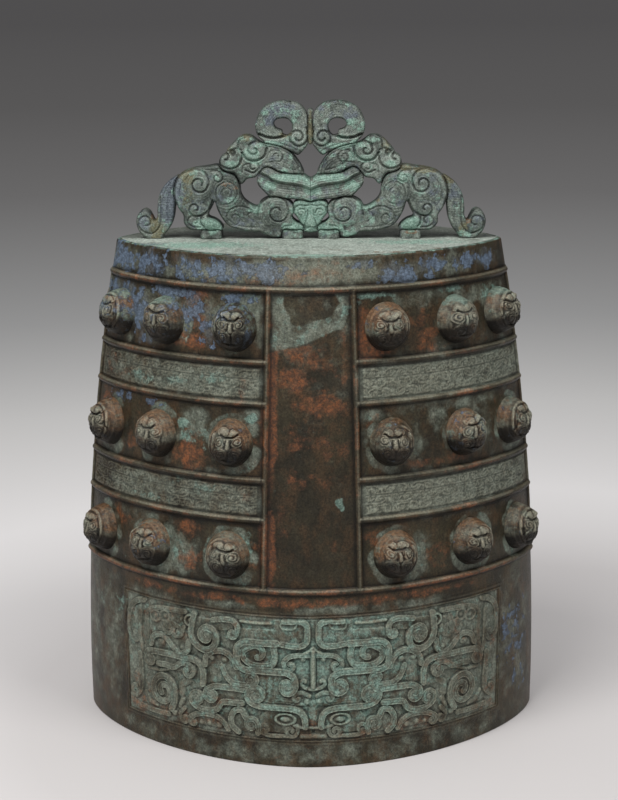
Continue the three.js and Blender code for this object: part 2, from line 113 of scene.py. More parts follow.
def steps(low, high, coarse, fine, near, reach):
    """Positions from low to high, closer together near the given places."""
    probe = np.linspace(low, high, 6000)
    close = np.zeros(len(probe), bool)
    for place in near:
        close |= np.abs(probe - place) < reach
    run = np.cumsum(np.where(close, 1 / fine, 1 / coarse)) * (high - low) / len(probe)
    run -= run[0]
    return np.interp(np.linspace(0, run[-1], int(round(run[-1])) + 1), run, probe)


def cloud(x, y, size, seed):
    """Soft random cloud from -1 to 1 over a plane, with lumps of about the given size."""
    lattice = np.random.default_rng(seed).uniform(-1, 1, (256, 256))
    # The shifts keep every place on the positive side of the lattice
    u, v = np.asarray(x) / size + 511.3, np.asarray(y) / size + 517.7
    i, j = np.floor(u).astype(int), np.floor(v).astype(int)
    a, b = u - i, v - j
    a, b = a * a * (3 - 2 * a), b * b * (3 - 2 * b)
    i, j = i % 255, j % 255
    low = lerp(lattice[j, i], lattice[j, i + 1], a)
    high = lerp(lattice[j + 1, i], lattice[j + 1, i + 1], a)
    return lerp(low, high, b)


def curve_through(points, closed=False, dense=8):
    """Centripetal Catmull-Rom curve through the points."""
    p = np.array(points, float)
    if closed:
        p = np.vstack([p[-1], p, p[0], p[1]])
    else:
        p = np.vstack([2 * p[0] - p[1], p, 2 * p[-1] - p[-2]])
    out = []
    for p0, p1, p2, p3 in zip(p, p[1:], p[2:], p[3:]):
        t1 = max(np.linalg.norm(p1 - p0), 1e-6) ** 0.5
        t2 = t1 + max(np.linalg.norm(p2 - p1), 1e-6) ** 0.5
        t3 = t2 + max(np.linalg.norm(p3 - p2), 1e-6) ** 0.5
        t = np.linspace(t1, t2, dense, endpoint=False)[:, None]
        a1 = p0 * (t1 - t) / t1 + p1 * t / t1
        a2 = p1 * (t2 - t) / (t2 - t1) + p2 * (t - t1) / (t2 - t1)
        a3 = p2 * (t3 - t) / (t3 - t2) + p3 * (t - t2) / (t3 - t2)
        b1 = a1 * (t2 - t) / t2 + a2 * t / t2
        b2 = a2 * (t3 - t) / (t3 - t1) + a3 * (t - t1) / (t3 - t1)
        out.append(b1 * (t2 - t) / (t2 - t1) + b2 * (t - t1) / (t2 - t1))
    if not closed:
        out.append(p[-2:-1])
    return np.vstack(out)


def curl(points, middle, turns, end=0.22, dense=5):
    """A smooth line that runs on from its last point into a spiral around the middle. More than 0 turns run
    anticlockwise."""
    line = curve_through(points, dense=dense) if len(points) > 1 else np.array(points, float)
    from_middle = line[-1] - np.array(middle, float)
    radius, start = np.hypot(*from_middle), math.atan2(from_middle[1], from_middle[0])
    t = np.linspace(0, 1, int(14 * abs(turns)) + 2)[1:, None]
    r = radius * (1 - (1 - end) * t**0.9)
    angle = start + 2 * math.pi * turns * t
    spiral = np.hstack([middle[0] + r * np.cos(angle), middle[1] + r * np.sin(angle)])
    return np.vstack([line, spiral])


def gap_to(x, y, line, limit):
    """Distance from each point to a line, where it is less than the limit, and infinity elsewhere."""
    line = np.asarray(line, float)
    away = np.full(x.shape, np.inf)
    low, high = line.min(0) - limit, line.max(0) + limit
    near = (x > low[0]) & (x < high[0]) & (y > low[1]) & (y < high[1])
    if not near.any():
        return away
    px, py = x[near], y[near]
    best = np.full(px.shape, np.inf)
    for (ax, ay), (bx, by) in zip(line, line[1:]):
        dx, dy = bx - ax, by - ay
        t = np.clip(((px - ax) * dx + (py - ay) * dy) / max(dx * dx + dy * dy, 1e-9), 0, 1)
        best = np.minimum(best, (px - ax - t * dx) ** 2 + (py - ay - t * dy) ** 2)
    away[near] = np.sqrt(best)
    return away


def tape(gap, half, high):
    """Flat raised band with a thin bead along both borders and a fine line inside each bead."""
    t = gap / half
    body = high * smooth(1.0, 0.84, t)
    border = 0.30 * np.exp(-(((t - 0.8) / 0.1) ** 2))
    return body + (border - 0.36 * np.exp(-(((t - 0.5) / 0.13) ** 2))) * smooth(2.2, 3.0, half)


def bead(gap, half, high):
    """Half-round ridge, or a groove where high is less than 0."""
    return high * np.sqrt(np.clip(1 - (gap / half) ** 2, 0, 1))


def depth_inside(x, y, outline, reach=12):
    """Distance from each point to a straight-sided closed outline, up to the reach and positive inside
    it."""
    ring = np.array([*outline, outline[0]], float)
    crossings = np.zeros(x.shape, int)
    for (ax, ay), (bx, by) in zip(ring, ring[1:]):
        if ay != by:
            spans = (ay > y) != (by > y)
            crossings += spans & (x < ax + (y - ay) * (bx - ax) / (by - ay))
    return np.where(crossings % 2 == 1, 1, -1) * np.minimum(gap_to(x, y, ring, reach), reach)


def carved(x, y, lines, profile=bead):
    """Height of many lines, each (points, half width, height): ridges over each other, then grooves."""
    up, down = np.zeros(x.shape), np.zeros(x.shape)
    for line, half, high in lines:
        gap = gap_to(x, y, line, half * 1.05)
        hit = np.isfinite(gap)
        value = profile(gap[hit], half, high)
        if high > 0:
            up[hit] = np.maximum(up[hit], value)
        else:
            down[hit] = np.minimum(down[hit], value)
    return up + down


def blurred(field, reach):
    """The field softened over a few grid steps each way."""
    out = field
    for axis in (0, 1):
        for _ in range(2):
            pad = [(0, 0), (0, 0)]
            pad[axis] = (reach + 1, reach)
            run = np.cumsum(np.pad(out, pad, mode="edge"), axis=axis)
            if axis == 0:
                out = (run[2 * reach + 1 :] - run[: -2 * reach - 1]) / (2 * reach + 1)
            else:
                out = (run[:, 2 * reach + 1 :] - run[:, : -2 * reach - 1]) / (2 * reach + 1)
    return out


def spots(x, y, places):
    """Soft-edged patches, each [x, y, reach along x, reach along y, strength]; the strongest one counts."""
    total = np.zeros(x.shape)
    for px, py, rx, ry, strength in places:
        off = ((x - px) / rx) ** 2 + ((y - py) / ry) ** 2
        total = np.maximum(total, strength * np.exp(-(off**1.4)))
    return total


# Beast panel: two facing beasts, pressed into the mould as tapes of bronze that run into curls. One half is
# listed as [along the wall, up], and the other half mirrors it about the panel's middle.
PANEL_MIDDLE = 6.0
PANEL_LOW, PANEL_HIGH, PANEL_SIDE = 29.0, 154.0, 222.0
PANEL_CENTRE, PANEL_HALF = (PANEL_LOW + PANEL_HIGH) / 2, (PANEL_HIGH - PANEL_LOW) / 2
# Each tape and bead is (line, half width, height)
PANEL_TAPES = [
    (curve_through([[36, 151.5], [17, 151.5], [12.5, 148], [11.5, 140], [12.5, 131], [17, 127], [28, 126.4],
        [38, 128]]), 3.4, 2.6),
    (curl([[36, 99], [31, 97.5], [25.5, 93], [24.5, 84]], (33, 84.3), 1.25), 4.0, 2.8),
    (curve_through([[42, 128.2], [60, 127.8], [76, 127.4], [83, 122], [84.5, 112], [83.5, 103.5], [78, 99],
        [60, 99], [36, 99]]), 4.0, 2.8),
    (curl([[45, 125], [44, 113], [48, 106], [58, 104.2], [69, 104.8], [76.5, 110], [77, 118], [69, 123.4]],
        (62.5, 117), 0.62, 0.5), 3.6, 2.5),
    (curl([[8, 117], [20, 117], [29, 115.2], [34.5, 110.5]], (29.3, 106), -0.9), 2.8, 2.2),
    (curl([[8, 82.5], [13.5, 83], [18, 86.5]], (14.6, 89), 0.5), 2.0, 2.0),
    (curl([[14, 43], [14.5, 51], [18, 57.8], [26, 61.2], [45, 61.8], [60, 62], [70.5, 65.5], [74.5, 72],
        [71.5, 78.6], [64, 80.4]], (64, 73), 1.15), 3.6, 2.8),
    (curve_through([[26, 68.5], [36, 69.5], [52, 69.5], [58, 72]]), 3.2, 1.6),
    (curl([[10, 75], [16, 78], [23, 77.5]], (22, 72.5), -0.7), 2.4, 2.2),
    (curl([[22, 44], [21.5, 39]], (28.5, 38), 1.1), 2.3, 2.0),
    (curl([[30, 33], [40, 32.5], [52, 32.4], [61, 35]], (55.5, 38.3), 1.0), 2.3, 2.0),
    (curl([[63, 33.5], [61.5, 41], [65, 47.4], [71, 47.6]], (69.4, 41.6), -0.95), 3.0, 2.4),
    (curve_through([[74.5, 49], [79, 55.8], [86, 54.6], [90.5, 47], [89.8, 38.5], [84, 33]]), 3.6, 2.6),
    (curl([[78, 77.6], [90, 77.8], [101, 77.4], [111, 76.6], [119.5, 72]], (113.4, 67), -1.05), 3.7, 2.7),
    (curl([[79, 63], [90, 62.4], [101, 61], [105.5, 54], [114, 50.2], [126, 50.6], [136, 56], [136.5, 64]],
        (130, 60.4), 0.95), 3.6, 2.5),
    (curl([[102, 99], [97.5, 89], [90, 83.2], [78, 82.6], [68.5, 83.2]], (71.4, 90), -1.05), 3.3, 2.6),
    (curve_through([[86, 100], [88.5, 107], [95, 113.2], [104, 115], [113, 112], [119.5, 106],
        [121.5, 98]]), 3.4, 2.6),
    (curl([[124.5, 77], [124.5, 90], [128.5, 98.4], [137, 101.2], [150, 101.2], [170, 100.8], [186, 99.8],
        [196, 97.6], [200, 91]], (193.4, 91), -1.0), 3.7, 2.8),
    (curl([[182, 87.6], [172, 88.6], [160, 88.4], [152, 94], [143, 95.4], [136.5, 91]],
        (143, 87.6), 0.8), 3.4, 2.5),
    (curl([[112, 146.4], [99, 148.6], [89, 147.6], [84.4, 142], [84.6, 136]],
        (89.4, 134.6), 0.9), 3.2, 2.5),
    (curl([[134.5, 149], [136, 139], [136, 127], [130, 117.6], [119, 113.6], [110, 118], [106.8, 127],
        [110.4, 135], [118, 138]], (118, 129), -0.95), 3.9, 2.8),
    (curve_through([[146, 149.4], [162, 148.6], [182, 147], [194, 142], [197, 132]]), 3.0, 2.3),
    (curl([[146, 133], [149, 124], [156, 122]], (153.4, 128.6), 0.9), 2.6, 2.3),
    (curl([[158, 134], [168, 134], [171.5, 128]], (165, 128), -0.9), 2.6, 2.3),
    (curve_through([[139, 119], [141.4, 109.6], [149, 104.8], [157.6, 107.8], [164, 114], [174, 119.4],
        [185, 116.4], [190.5, 107]]), 3.4, 2.7),
    (curl([[201, 152], [213, 148], [221.5, 139], [224.5, 126], [224, 113], [217.5, 107]],
        (213.4, 111.5), -0.7), 3.7, 2.7),
    (curve_through([[196, 133], [195, 120], [196.4, 108], [199, 100]]), 2.8, 2.2),
    (curve_through([[206.6, 138], [206.6, 124], [206.4, 108], [203, 96]]), 2.8, 2.2),
    (curl([[209, 92], [208, 78], [206.6, 64], [208, 52], [215, 45.4]], (216, 52), 0.6), 3.4, 2.4),
    (curl([[163, 43], [158.6, 52], [158.8, 63], [163.4, 71.4], [172, 75.6], [181, 74], [187, 67]],
        (173.4, 60), -1.2), 4.0, 2.8),
    (curl([[95, 34], [99.6, 40.6], [108, 45.4], [119, 46.2], [130, 44], [138, 40]],
        (135.5, 35.5), -0.7), 3.2, 2.5),
    (curl([[146, 47], [152, 40], [150, 33.5]], (146.4, 36.4), -0.7), 2.6, 2.2),
    (curve_through([[168, 36], [182, 35.4], [196, 35.6], [208, 36]]), 3.0, 2.2),
]
PANEL_BEADS = [
    ([[PANEL_MIDDLE, 84], [PANEL_MIDDLE, 121]], 2.9, 3.6),
    ([[PANEL_MIDDLE, 125], [9.5, 121.6], [15, 118.6]], 1.7, 2.4),
    ([[PANEL_MIDDLE, 81.4], [10, 82]], 1.9, 2.4),
    ([[PANEL_MIDDLE, 46], [PANEL_MIDDLE, 66]], 5.0, 1.7),
    ([[PANEL_MIDDLE, 42.2], [18, 42.2], [25, 44]], 2.2, 2.3),
    ([[PANEL_MIDDLE, 33.4], [18, 33]], 3.0, 2.0),
    (curl([[22, 149.4], [25, 144.4], [36, 143.2]], (36, 147.2), 0.42, 0.9), 1.7, 1.9),
    ([[50, 148.6], [66, 148], [82, 148.6]], 1.9, 1.9),
    ([[66, 138], [74, 139], [80, 133]], 3.0, 1.4),
    ([[112, 82], [112, 96]], 5.6, 1.7),
    ([[90, 70], [103, 69.4]], 4.6, 1.4),
    ([[42, 92], [60, 91.4]], 4.2, 1.3),
    ([[142, 78], [150, 72], [150, 62]], 4.6, 1.6),
    ([[165, 86], [180, 80], [196, 80]], 2.2, 1.8),
    ([[148, 56], [152, 48]], 3.2, 1.8),
    ([[184, 42], [194, 44], [200, 52]], 2.6, 1.9),
]
# Domes as (along, up, half length, half height, height), and rings without the last value
PANEL_DOMES = [
    (33.5, 50.2, 6.0, 3.6, 2.6), (16.2, 113.2, 3.0, 3.0, 2.0), (98.4, 106.6, 4.6, 4.0, 2.6),
    (112.6, 106.4, 4.0, 3.6, 2.6), (147.6, 111.4, 4.2, 3.6, 2.4), (175.6, 111.8, 5.4, 4.0, 2.4),
    (139.4, 141.4, 3.4, 3.2, 2.0), (171.4, 140.4, 3.6, 3.4, 2.2), (105, 37, 4.4, 4.0, 2.6),
    (116.4, 37.4, 4.0, 3.6, 2.4), (126, 36.4, 3.4, 3.2, 2.2), (160, 39, 4.0, 3.6, 2.4),
    (12.4, 69.6, 4.2, 4.6, 2.2), (150, 141.4, 3.0, 3.0, 1.9), (184, 138, 4.4, 3.6, 2.0),
    (159, 100, 3.6, 2.6, 1.8),
]
PANEL_RINGS = [
    (33.5, 50.2, 9.6, 5.6), (139.4, 141.4, 5.8, 5.4), (171.4, 140.4, 6.0, 5.6), (184, 138, 6.8, 5.8),
]
# Broad low bodies that the tapes run round
PANEL_BODIES = [
    [[20, 128], [82, 128], [84, 134], [80, 141], [46, 142], [46, 152], [22, 153], [14, 148], [13, 133]],
    [[28, 98], [84, 99], [98, 100], [100, 92], [96, 84], [80, 82], [60, 80], [45, 79], [26, 80]],
    [[90, 100], [92, 108], [98, 113], [106, 115], [114, 112], [119, 106], [120, 98], [113, 97], [112, 84],
        [108, 80], [104, 84], [105, 98]],
    [[26, 64], [62, 63], [70, 68], [72, 75], [64, 80], [40, 80], [12, 78], [8, 66]],
    [[126, 100], [186, 100], [192, 92], [186, 86], [160, 85], [140, 86], [134, 94]],
    [[190, 134], [200, 134], [199, 96], [192, 96]],
    [[206, 146], [222, 138], [224, 110], [212, 104], [206, 110]],
    [[160, 46], [158, 66], [168, 76], [180, 75], [188, 66], [186, 50], [172, 44]],
    [[96, 34], [104, 44], [120, 46], [136, 42], [142, 34]],
    [[45, 106], [76, 106], [78, 122], [46, 124]],
    [[108, 120], [134, 118], [137, 146], [88, 147], [90, 138], [106, 136]],
    [[140, 118], [150, 106], [172, 120], [188, 116], [194, 140], [150, 148]],
    [[78, 76], [112, 76], [130, 62], [126, 52], [106, 54], [100, 62], [78, 63]],
    [[8, 46], [18, 58], [50, 62], [60, 50], [58, 36], [8, 36]],
    [[64, 34], [64, 46], [78, 54], [90, 46], [88, 34]],
]


def panel_relief(s, z):
    """How far the beast panel stands out, at length s along the wall and height z."""
    fold = PANEL_MIDDLE + np.abs(s - PANEL_MIDDLE)
    fold = fold + np.where(s < PANEL_MIDDLE, 1.1 * np.sin(z / 11.0), 0) * smooth(12, 40, fold)
    grains = 0.5 + 0.08 * cloud(s, z, 1.9, 9) + 0.12 * cloud(s, z, 3.3, 10)
    high = 0.45 * grains
    for outline in PANEL_BODIES:
        high = np.maximum(high, (1.0 + 0.35 * grains) * smooth(-1.4, 0.4, depth_inside(fold, z, outline)))
    tapes = carved(fold, z, PANEL_TAPES, tape)
    uneven_tapes = tapes * (0.9 + 0.12 * cloud(s, z, 20, 20)) + 0.03 * cloud(s, z, 1.7, 22) * (tapes > 1)
    high = np.maximum(high, uneven_tapes)
    high = np.maximum(high, carved(fold, z, PANEL_BEADS))
    for ds, dz, rs, rz, up in PANEL_DOMES:
        high = np.maximum(high, bead(np.hypot((fold - ds) / rs, (z - dz) / rz), 1.0, up))
    for ds, dz, rs, rz in PANEL_RINGS:
        t = np.hypot((fold - ds) / rs, (z - dz) / rz)
        high = np.maximum(high, bead((t - 1) * (rs + rz) / 2, 1.9, 2.3))
    outside = np.maximum(np.abs(s - PANEL_MIDDLE) - PANEL_SIDE, np.abs(z - PANEL_CENTRE) - PANEL_HALF)
    frame_lines = bead(outside - 1.6, 0.9, 1.0) + bead(outside - 4.6, 0.8, 0.8)
    worn_end = 1 - 0.3 * smooth(110, 200, np.abs(s - PANEL_MIDDLE)) - 0.12 * cloud(s, z, 38, 12)
    # The panel gets flatter towards the rim
    return np.minimum(1.4 * high * smooth(1.0, -1.5, outside) * worn_end, 3.4 + 0.05 * (z - 30)) + frame_lines


# Fine ornament of the narrow bands: small hooked curls in rows, worn nearly flat
HOOK_UNIT, HOOK_ROW, HOOK_STAGGER = 15.0, 9.9, 6.1
HOOKS = [
    (curl([[0, 1.5], [5, 1.3], [10, 1.9]], (9.4, 4.6), 0.95), 1.0, 1.0),
    (curl([[15, 8.5], [8.4, 8.9], [4.2, 7.4]], (5.2, 4.7), 0.8), 1.0, 1.0),
    ([[11.8, 7.0], [14.2, 4.2]], 0.9, 0.9),
    ([[0.8, 4.0], [1.2, 7.6]], 0.9, 0.8),
    ([[13.2, 1.6], [15, 1.6]], 0.8, 0.8),
]


def band_relief(s, z, middle, half):
    """Rows of hooks between two ribs, with worn stretches, at length s along the wall and height z."""
    v = z - (middle - half)
    row = np.floor(v / HOOK_ROW)
    u = np.mod(s + row * HOOK_STAGGER, 2 * HOOK_UNIT)
    u = np.where(u > HOOK_UNIT, 2 * HOOK_UNIT - u, u)
    w = v - row * HOOK_ROW
    w = np.where(np.mod(row, 2) > 0, HOOK_ROW - w, w)
    wear = 0.35 + 0.65 * smooth(-0.7, 0.2, cloud(s, z, 19, 5) + 0.5 * cloud(s, z, 6, 6))
    inside = smooth(0.4, -1.2, np.abs(z - middle) - half)
    return (0.4 + 1.1 * carved(u, w, HOOKS) * wear + 0.08 * cloud(s, z, 2.2, 13)) * inside


def wall_relief(s, z, parts):
    """How far the wall's surface stands out from the plain leaf shape, in millimetres."""
    part = np.broadcast_to(np.abs(parts), s.shape)
    length = np.abs(s).max(1, keepdims=True)
    uneven = 0.3 * cloud(s, z, 34, 1) + 0.14 * cloud(s, z, 8, 2) + 0.07 * cloud(s, z, 3.1, 3)
    ribs = np.zeros(s.shape)
    wobble = 0.35 * cloud(s, z * 0.2, 26, 4)
    off_edge = smooth(EDGE_PART + 0.004, EDGE_PART - 0.002, part)
    off_plain = smooth(PANEL_PART - 0.004, PANEL_PART + 0.004, part)
    for i, height in enumerate(RIBS):
        # Only the highest and the lowest rib cross the plain panel
        clear = off_edge if i in (0, len(RIBS) - 1) else off_edge * off_plain
        ribs = np.maximum(ribs, bead(z - height + wobble, RIB_HALF, RIB_HIGH) * clear)
    between = ((z > RIBS[-1]) & (z < RIBS[0])).astype(float)
    upright = bead((part - PANEL_PART) * length + 0.6 * wobble, UPRIGHT_HALF, UPRIGHT_HIGH)
    edge = bead((part - EDGE_PART) * length, EDGE_RIB_HALF, EDGE_RIB_HIGH)
    ribs = np.maximum(ribs, np.maximum(upright, edge) * between)
    fields = np.zeros(s.shape)
    clear_of_panel = smooth(7.0, 10.0, (part - PANEL_PART) * length) * smooth(0.95, 0.935, part)
    for low, high in NARROW_BANDS:
        if z.min() < high and z.max() > low:
            fields += band_relief(s, z, (low + high) / 2, (high - low) / 2 - BAND_MARGIN) * clear_of_panel
    if z.min() < PANEL_HIGH:
        fields += panel_relief(s, z)
    return uneven * smooth(1.0, 0.96, part) * smooth(3, 26, z) + np.maximum(ribs, fields)


def outward(points):
    """Unit normals of a grid of points."""
    n = np.cross(np.gradient(points, axis=1), np.gradient(points, axis=0))
    return n / np.maximum(np.linalg.norm(n, axis=2, keepdims=True), 1e-9)


def skin(name, points, faces, paint, uv=None):
    """A smooth mesh object from points in millimetres, quads and named values per point."""
    mesh = bpy.data.meshes.new(name)
    points = np.asarray(points, float).reshape(-1, 3) * MM
    faces = np.asarray(faces, np.int32)
    mesh.vertices.add(len(points))
    mesh.vertices.foreach_set("co", points.astype(np.float32).ravel())
    mesh.loops.add(faces.size)
    mesh.loops.foreach_set("vertex_index", faces.ravel())
    mesh.polygons.add(len(faces))
    mesh.polygons.foreach_set("loop_start", np.arange(0, faces.size, faces.shape[1], dtype=np.int32))
    mesh.polygons.foreach_set("use_smooth", np.ones(len(faces), bool))
    mesh.update(calc_edges=True)
    for key, values in paint.items():
        layer = mesh.attributes.new(key, "FLOAT", "POINT")
        layer.data.foreach_set("value", np.asarray(values, np.float32).ravel())
    if uv is not None:
        layer = mesh.uv_layers.new(name="OFBake")
        layer.uv.foreach_set("vector", uv[faces.ravel()].astype(np.float32).ravel())
    piece = bpy.data.objects.new(name, mesh)
    bpy.context.scene.collection.objects.link(piece)
    return piece


def quads(rows, columns, flip=False):
    """Faces of a grid of points, row by row."""
    at = np.arange(rows * columns).reshape(rows, columns)
    faces = np.stack([at[:-1, :-1], at[:-1, 1:], at[1:, 1:], at[1:, :-1]], -1).reshape(-1, 4)
    return faces[:, ::-1] if flip else faces


def square_uv(rows, columns):
    """A map that spreads a grid over the whole square."""
    v, u = np.meshgrid(np.linspace(0.004, 0.996, rows), np.linspace(0.004, 0.996, columns), indexing="ij")
    return np.stack([u.ravel(), v.ravel()], -1)


def hollows(field, reach, depth):
    """How deep and how exposed each point lies against its surroundings, each from 0 to 1."""
    off = field - blurred(field, reach)
    return np.clip(-off / depth, 0, 1), np.clip(off / depth, 0, 1)


def linear(code):
    """sRGB hex to linear colour."""
    channels = [int(code[i : i + 2], 16) / 255 for i in (1, 3, 5)]
    return [c / 12.92 if c <= 0.04045 else ((c + 0.055) / 1.055) ** 2.4 for c in channels] + [1.0]


def node(tree, kind, inputs=None, output=0, **settings):
    """Adds a node and gives one of its outputs. An input is a plain value or the output that feeds it."""
    made = tree.nodes.new("ShaderNode" + kind)
    for key, value in settings.items():
        setattr(made, key, value)
    for key, value in (inputs or {}).items():
        if isinstance(value, bpy.types.NodeSocket):
            tree.links.new(value, made.inputs[key])
        else:
            made.inputs[key].default_value = value
    return made.outputs[output] if len(made.outputs) else None


def weathered_bronze(name, ground, crusts, grain=2.2):
    """Tin bronze after centuries in the ground, as a material. The ground colours are the smooth brown
    skin of the metal: dark, middle and warm, and a rubbed and lit colour for worn metal and painted
    highlights. Over it lie crusts, each (mask, colours, lump size, softness, height, how far it breaks up,
    cover), where the mask names a value painted on the mesh. Dirt and painted shade darken it where they are
    painted. Bare skin keeps a low sheen, a crust is dull. The real grain of a crust is under a millimetre,
    and it is drawn coarser so that it shows."""
    material = bpy.data.materials.new(name)
    material.use_nodes = True
    tree = material.node_tree
    tree.nodes.clear()
    place = node(tree, "TexCoord", output="Object")

    # Each noise as lump size in millimetres, detail, roughness, shift and stretch upwards
    wanted = {
        "fine": (grain, 6.0, 0.75, 0.0, 1.0),
        "brown": (34, 6.0, 0.62, 0.0, 1.6),
        "warm": (17, 8.0, 0.7, 3.1, 1.8),
        "pits": (1.7 * grain, 3.0, 0.8, 1.7, 1.0),
    }
    for i, crust in enumerate(crusts):
        wanted[f"broken {i}"] = (crust[2], 7.0, 0.64, 5.3 + 2.7 * i, 1.0)
        wanted[f"tinted {i}"] = (0.4 * crust[2], 6.0, 0.75, 9.1 + i, 1.0)
    noise = {}
    for key, (size, detail, roughness, shift, tall) in wanted.items():
        shifts, scales = (shift, 0.7 * shift, -shift), (1, 1, 1 / tall)
        moved = node(tree, "Mapping", {"Vector": place, "Location": shifts, "Scale": scales})
        inputs = {"Vector": moved, "Scale": 1 / (size * MM), "Detail": detail, "Roughness": roughness}
        noise[key] = node(tree, "TexNoise", inputs)

    # A range node takes a value and the two ends of its range. A mix node takes its share as input 0 and its
    # colours as 6 and 7, and gives the mixed colour as output 2.
    soft_step = {"interpolation_type": "SMOOTHSTEP"}
    tinted = {"output": 2, "data_type": "RGBA"}
    dark, middle, warm, rubbed_and_lit = (linear(code) for code in ground)
    share = node(tree, "MapRange", {0: noise["brown"], 1: 0.38, 2: 0.62}, **soft_step)
    colour = node(tree, "Mix", {0: share, 6: dark, 7: middle}, **tinted)
    share = node(tree, "MapRange", {0: noise["warm"], 1: 0.44, 2: 0.66}, **soft_step)
    colour = node(tree, "Mix", {0: share, 6: colour, 7: warm}, **tinted)
    rough = node(tree, "Math", {0: noise["fine"], 1: 0.35, 2: 0.24}, operation="MULTIPLY_ADD")
    metal = 0.4
    height = node(tree, "Math", {0: noise["fine"], 1: 0.75}, operation="MULTIPLY")

    for i, (mask, tints, _, soft, thick, broken, most) in enumerate(crusts):
        painted = node(tree, "Attribute", output="Fac", attribute_name=mask)
        mottle = node(tree, "Math", {0: noise[f"broken {i}"], 1: 0.5}, operation="SUBTRACT")
        mottle = node(tree, "Math", {0: mottle, 1: broken}, operation="MULTIPLY")
        ragged = node(tree, "Math", {0: painted, 1: mottle}, operation="ADD")
        cover = node(tree, "MapRange", {0: ragged, 1: 0.5 - soft, 2: 0.5 + soft}, **soft_step)
        cover = node(tree, "Math", {0: cover, 1: most}, operation="MULTIPLY")
        share = node(tree, "MapRange", {0: noise[f"tinted {i}"], 1: 0.38, 2: 0.62}, **soft_step)
        tint = node(tree, "Mix", {0: share, 6: linear(tints[0]), 7: linear(tints[1])}, **tinted)
        colour = node(tree, "Mix", {0: cover, 6: colour, 7: tint}, **tinted)
        duller = node(tree, "Math", {0: 0.5, 1: rough}, operation="SUBTRACT")
        rough = node(tree, "Math", {0: cover, 1: duller, 2: rough}, operation="MULTIPLY_ADD")
        bare = node(tree, "Math", {0: 1.0, 1: cover}, operation="SUBTRACT")
        metal = node(tree, "Math", {0: metal, 1: bare}, operation="MULTIPLY")
        lumps = node(tree, "Math", {0: noise["fine"], 1: 0.6 * thick, 2: thick}, operation="MULTIPLY_ADD")
        height = node(tree, "Math", {0: cover, 1: lumps, 2: height}, operation="MULTIPLY_ADD")

    # Wear and painted highlights on ridges, dirt and painted shade, pits and a fine speckle
    ridge = node(tree, "Attribute", output="Fac", attribute_name="ridge")
    share = node(tree, "Math", {0: ridge, 1: 0.6}, operation="MULTIPLY")
    colour = node(tree, "Mix", {0: share, 6: colour, 7: rubbed_and_lit}, **tinted)
    hollow = node(tree, "Attribute", output="Fac", attribute_name="hollow")
    share = node(tree, "Math", {0: hollow, 1: 0.8}, operation="MULTIPLY")
    dirty_and_shaded = node(tree, "Mix", {0: 1.0, 6: colour, 7: linear("#57534a")}, blend_type="MULTIPLY", **tinted)
    colour = node(tree, "Mix", {0: share, 6: colour, 7: dirty_and_shaded}, **tinted)
    pits = node(tree, "MapRange", {0: noise["pits"], 1: 0.64, 2: 0.74}, **soft_step)
    share = node(tree, "Math", {0: pits, 1: 0.7}, operation="MULTIPLY")
    colour = node(tree, "Mix", {0: share, 6: colour, 7: linear("#1d1913")}, **tinted)
    share = node(tree, "MapRange", {0: noise["fine"], 1: 0.3, 2: 0.7}, **soft_step)
    speckle = node(tree, "Mix", {0: share, 6: linear("#9a9a9a"), 7: linear("#ffffff")}, **tinted)
    colour = node(tree, "Mix", {0: 1.0, 6: colour, 7: speckle}, blend_type="MULTIPLY", **tinted)
    pit_depth = node(tree, "Math", {0: pits, 1: 0.4}, operation="MULTIPLY")
    height = node(tree, "Math", {0: height, 1: pit_depth}, operation="SUBTRACT")

    bump = node(tree, "Bump", {"Strength": 1.0, "Distance": 1.0 * MM, "Height": height})
    inputs = {"Base Color": colour, "Roughness": rough, "Metallic": metal, "Normal": bump}
    node(tree, "OutputMaterial", {"Surface": node(tree, "BsdfPrincipled", inputs)})
    return material


# Dark and light colour of each crust: mint malachite, grey tin, brick-red cuprite and dusty blue azurite
MALACHITE = ("#64897c", "#9dbdae")
PALE_TIN = ("#626a5c", "#929b8b")
CUPRITE = ("#5c3b21", "#9a592c")
AZURITE = ("#46566a", "#758ba5")
BLUE_GREY = ("#4a5157", "#6f7a83")
# To the eye a dark brown skin with a soft sheen, broken up by dull crusts in four colours
wall_bronze = weathered_bronze(
    "brown-patinated cast tin bronze",
    ("#353023", "#4a4330", "#5b4730", "#aeab94"),
    [
        ("pale", PALE_TIN, 18, 0.34, 0.15, 1.7, 0.84),
        ("cuprite", CUPRITE, 13, 0.28, 0.12, 2.0, 0.85),
        ("malachite", MALACHITE, 8, 0.20, 0.4, 1.9, 0.8),
        ("azurite", BLUE_GREY, 16, 0.30, 0.2, 2.6, 0.62),
        ("azurite", AZURITE, 12, 0.06, 0.9, 4.2, 0.85),
    ],
)

# Corrosion on each face as [along, up, reach along, reach up, strength]
FRONT_BLUE = [
    [-236, 503, 40, 15, 0.8], [-180, 504, 40, 14, 0.66], [-130, 502, 34, 13, 0.66],
    [-84, 504, 30, 12, 0.75], [-44, 504, 26, 11, 0.7], [-8, 508, 18, 6, 0.35], [58, 511, 16, 5, 0.62],
    [96, 500, 22, 13, 0.66], [140, 505, 22, 11, 0.66], [180, 506, 22, 9, 0.62], [214, 504, 22, 10, 0.6],
    [-256, 466, 34, 24, 0.62], [-216, 470, 24, 14, 0.6], [-196, 454, 13, 26, 0.85], [-148, 478, 26, 8, 0.8],
    [-124, 462, 22, 18, 0.62], [-106, 432, 14, 8, 0.45], [-178, 426, 26, 7, 0.5], [-66, 478, 20, 7, 0.5],
    [-246, 430, 22, 9, 0.4], [-222, 362, 26, 6, 0.42], [-176, 362, 18, 5, 0.3], [-104, 446, 8, 18, 0.55],
    [262, 92, 30, 44, 0.36], [276, 50, 20, 20, 0.34],
]
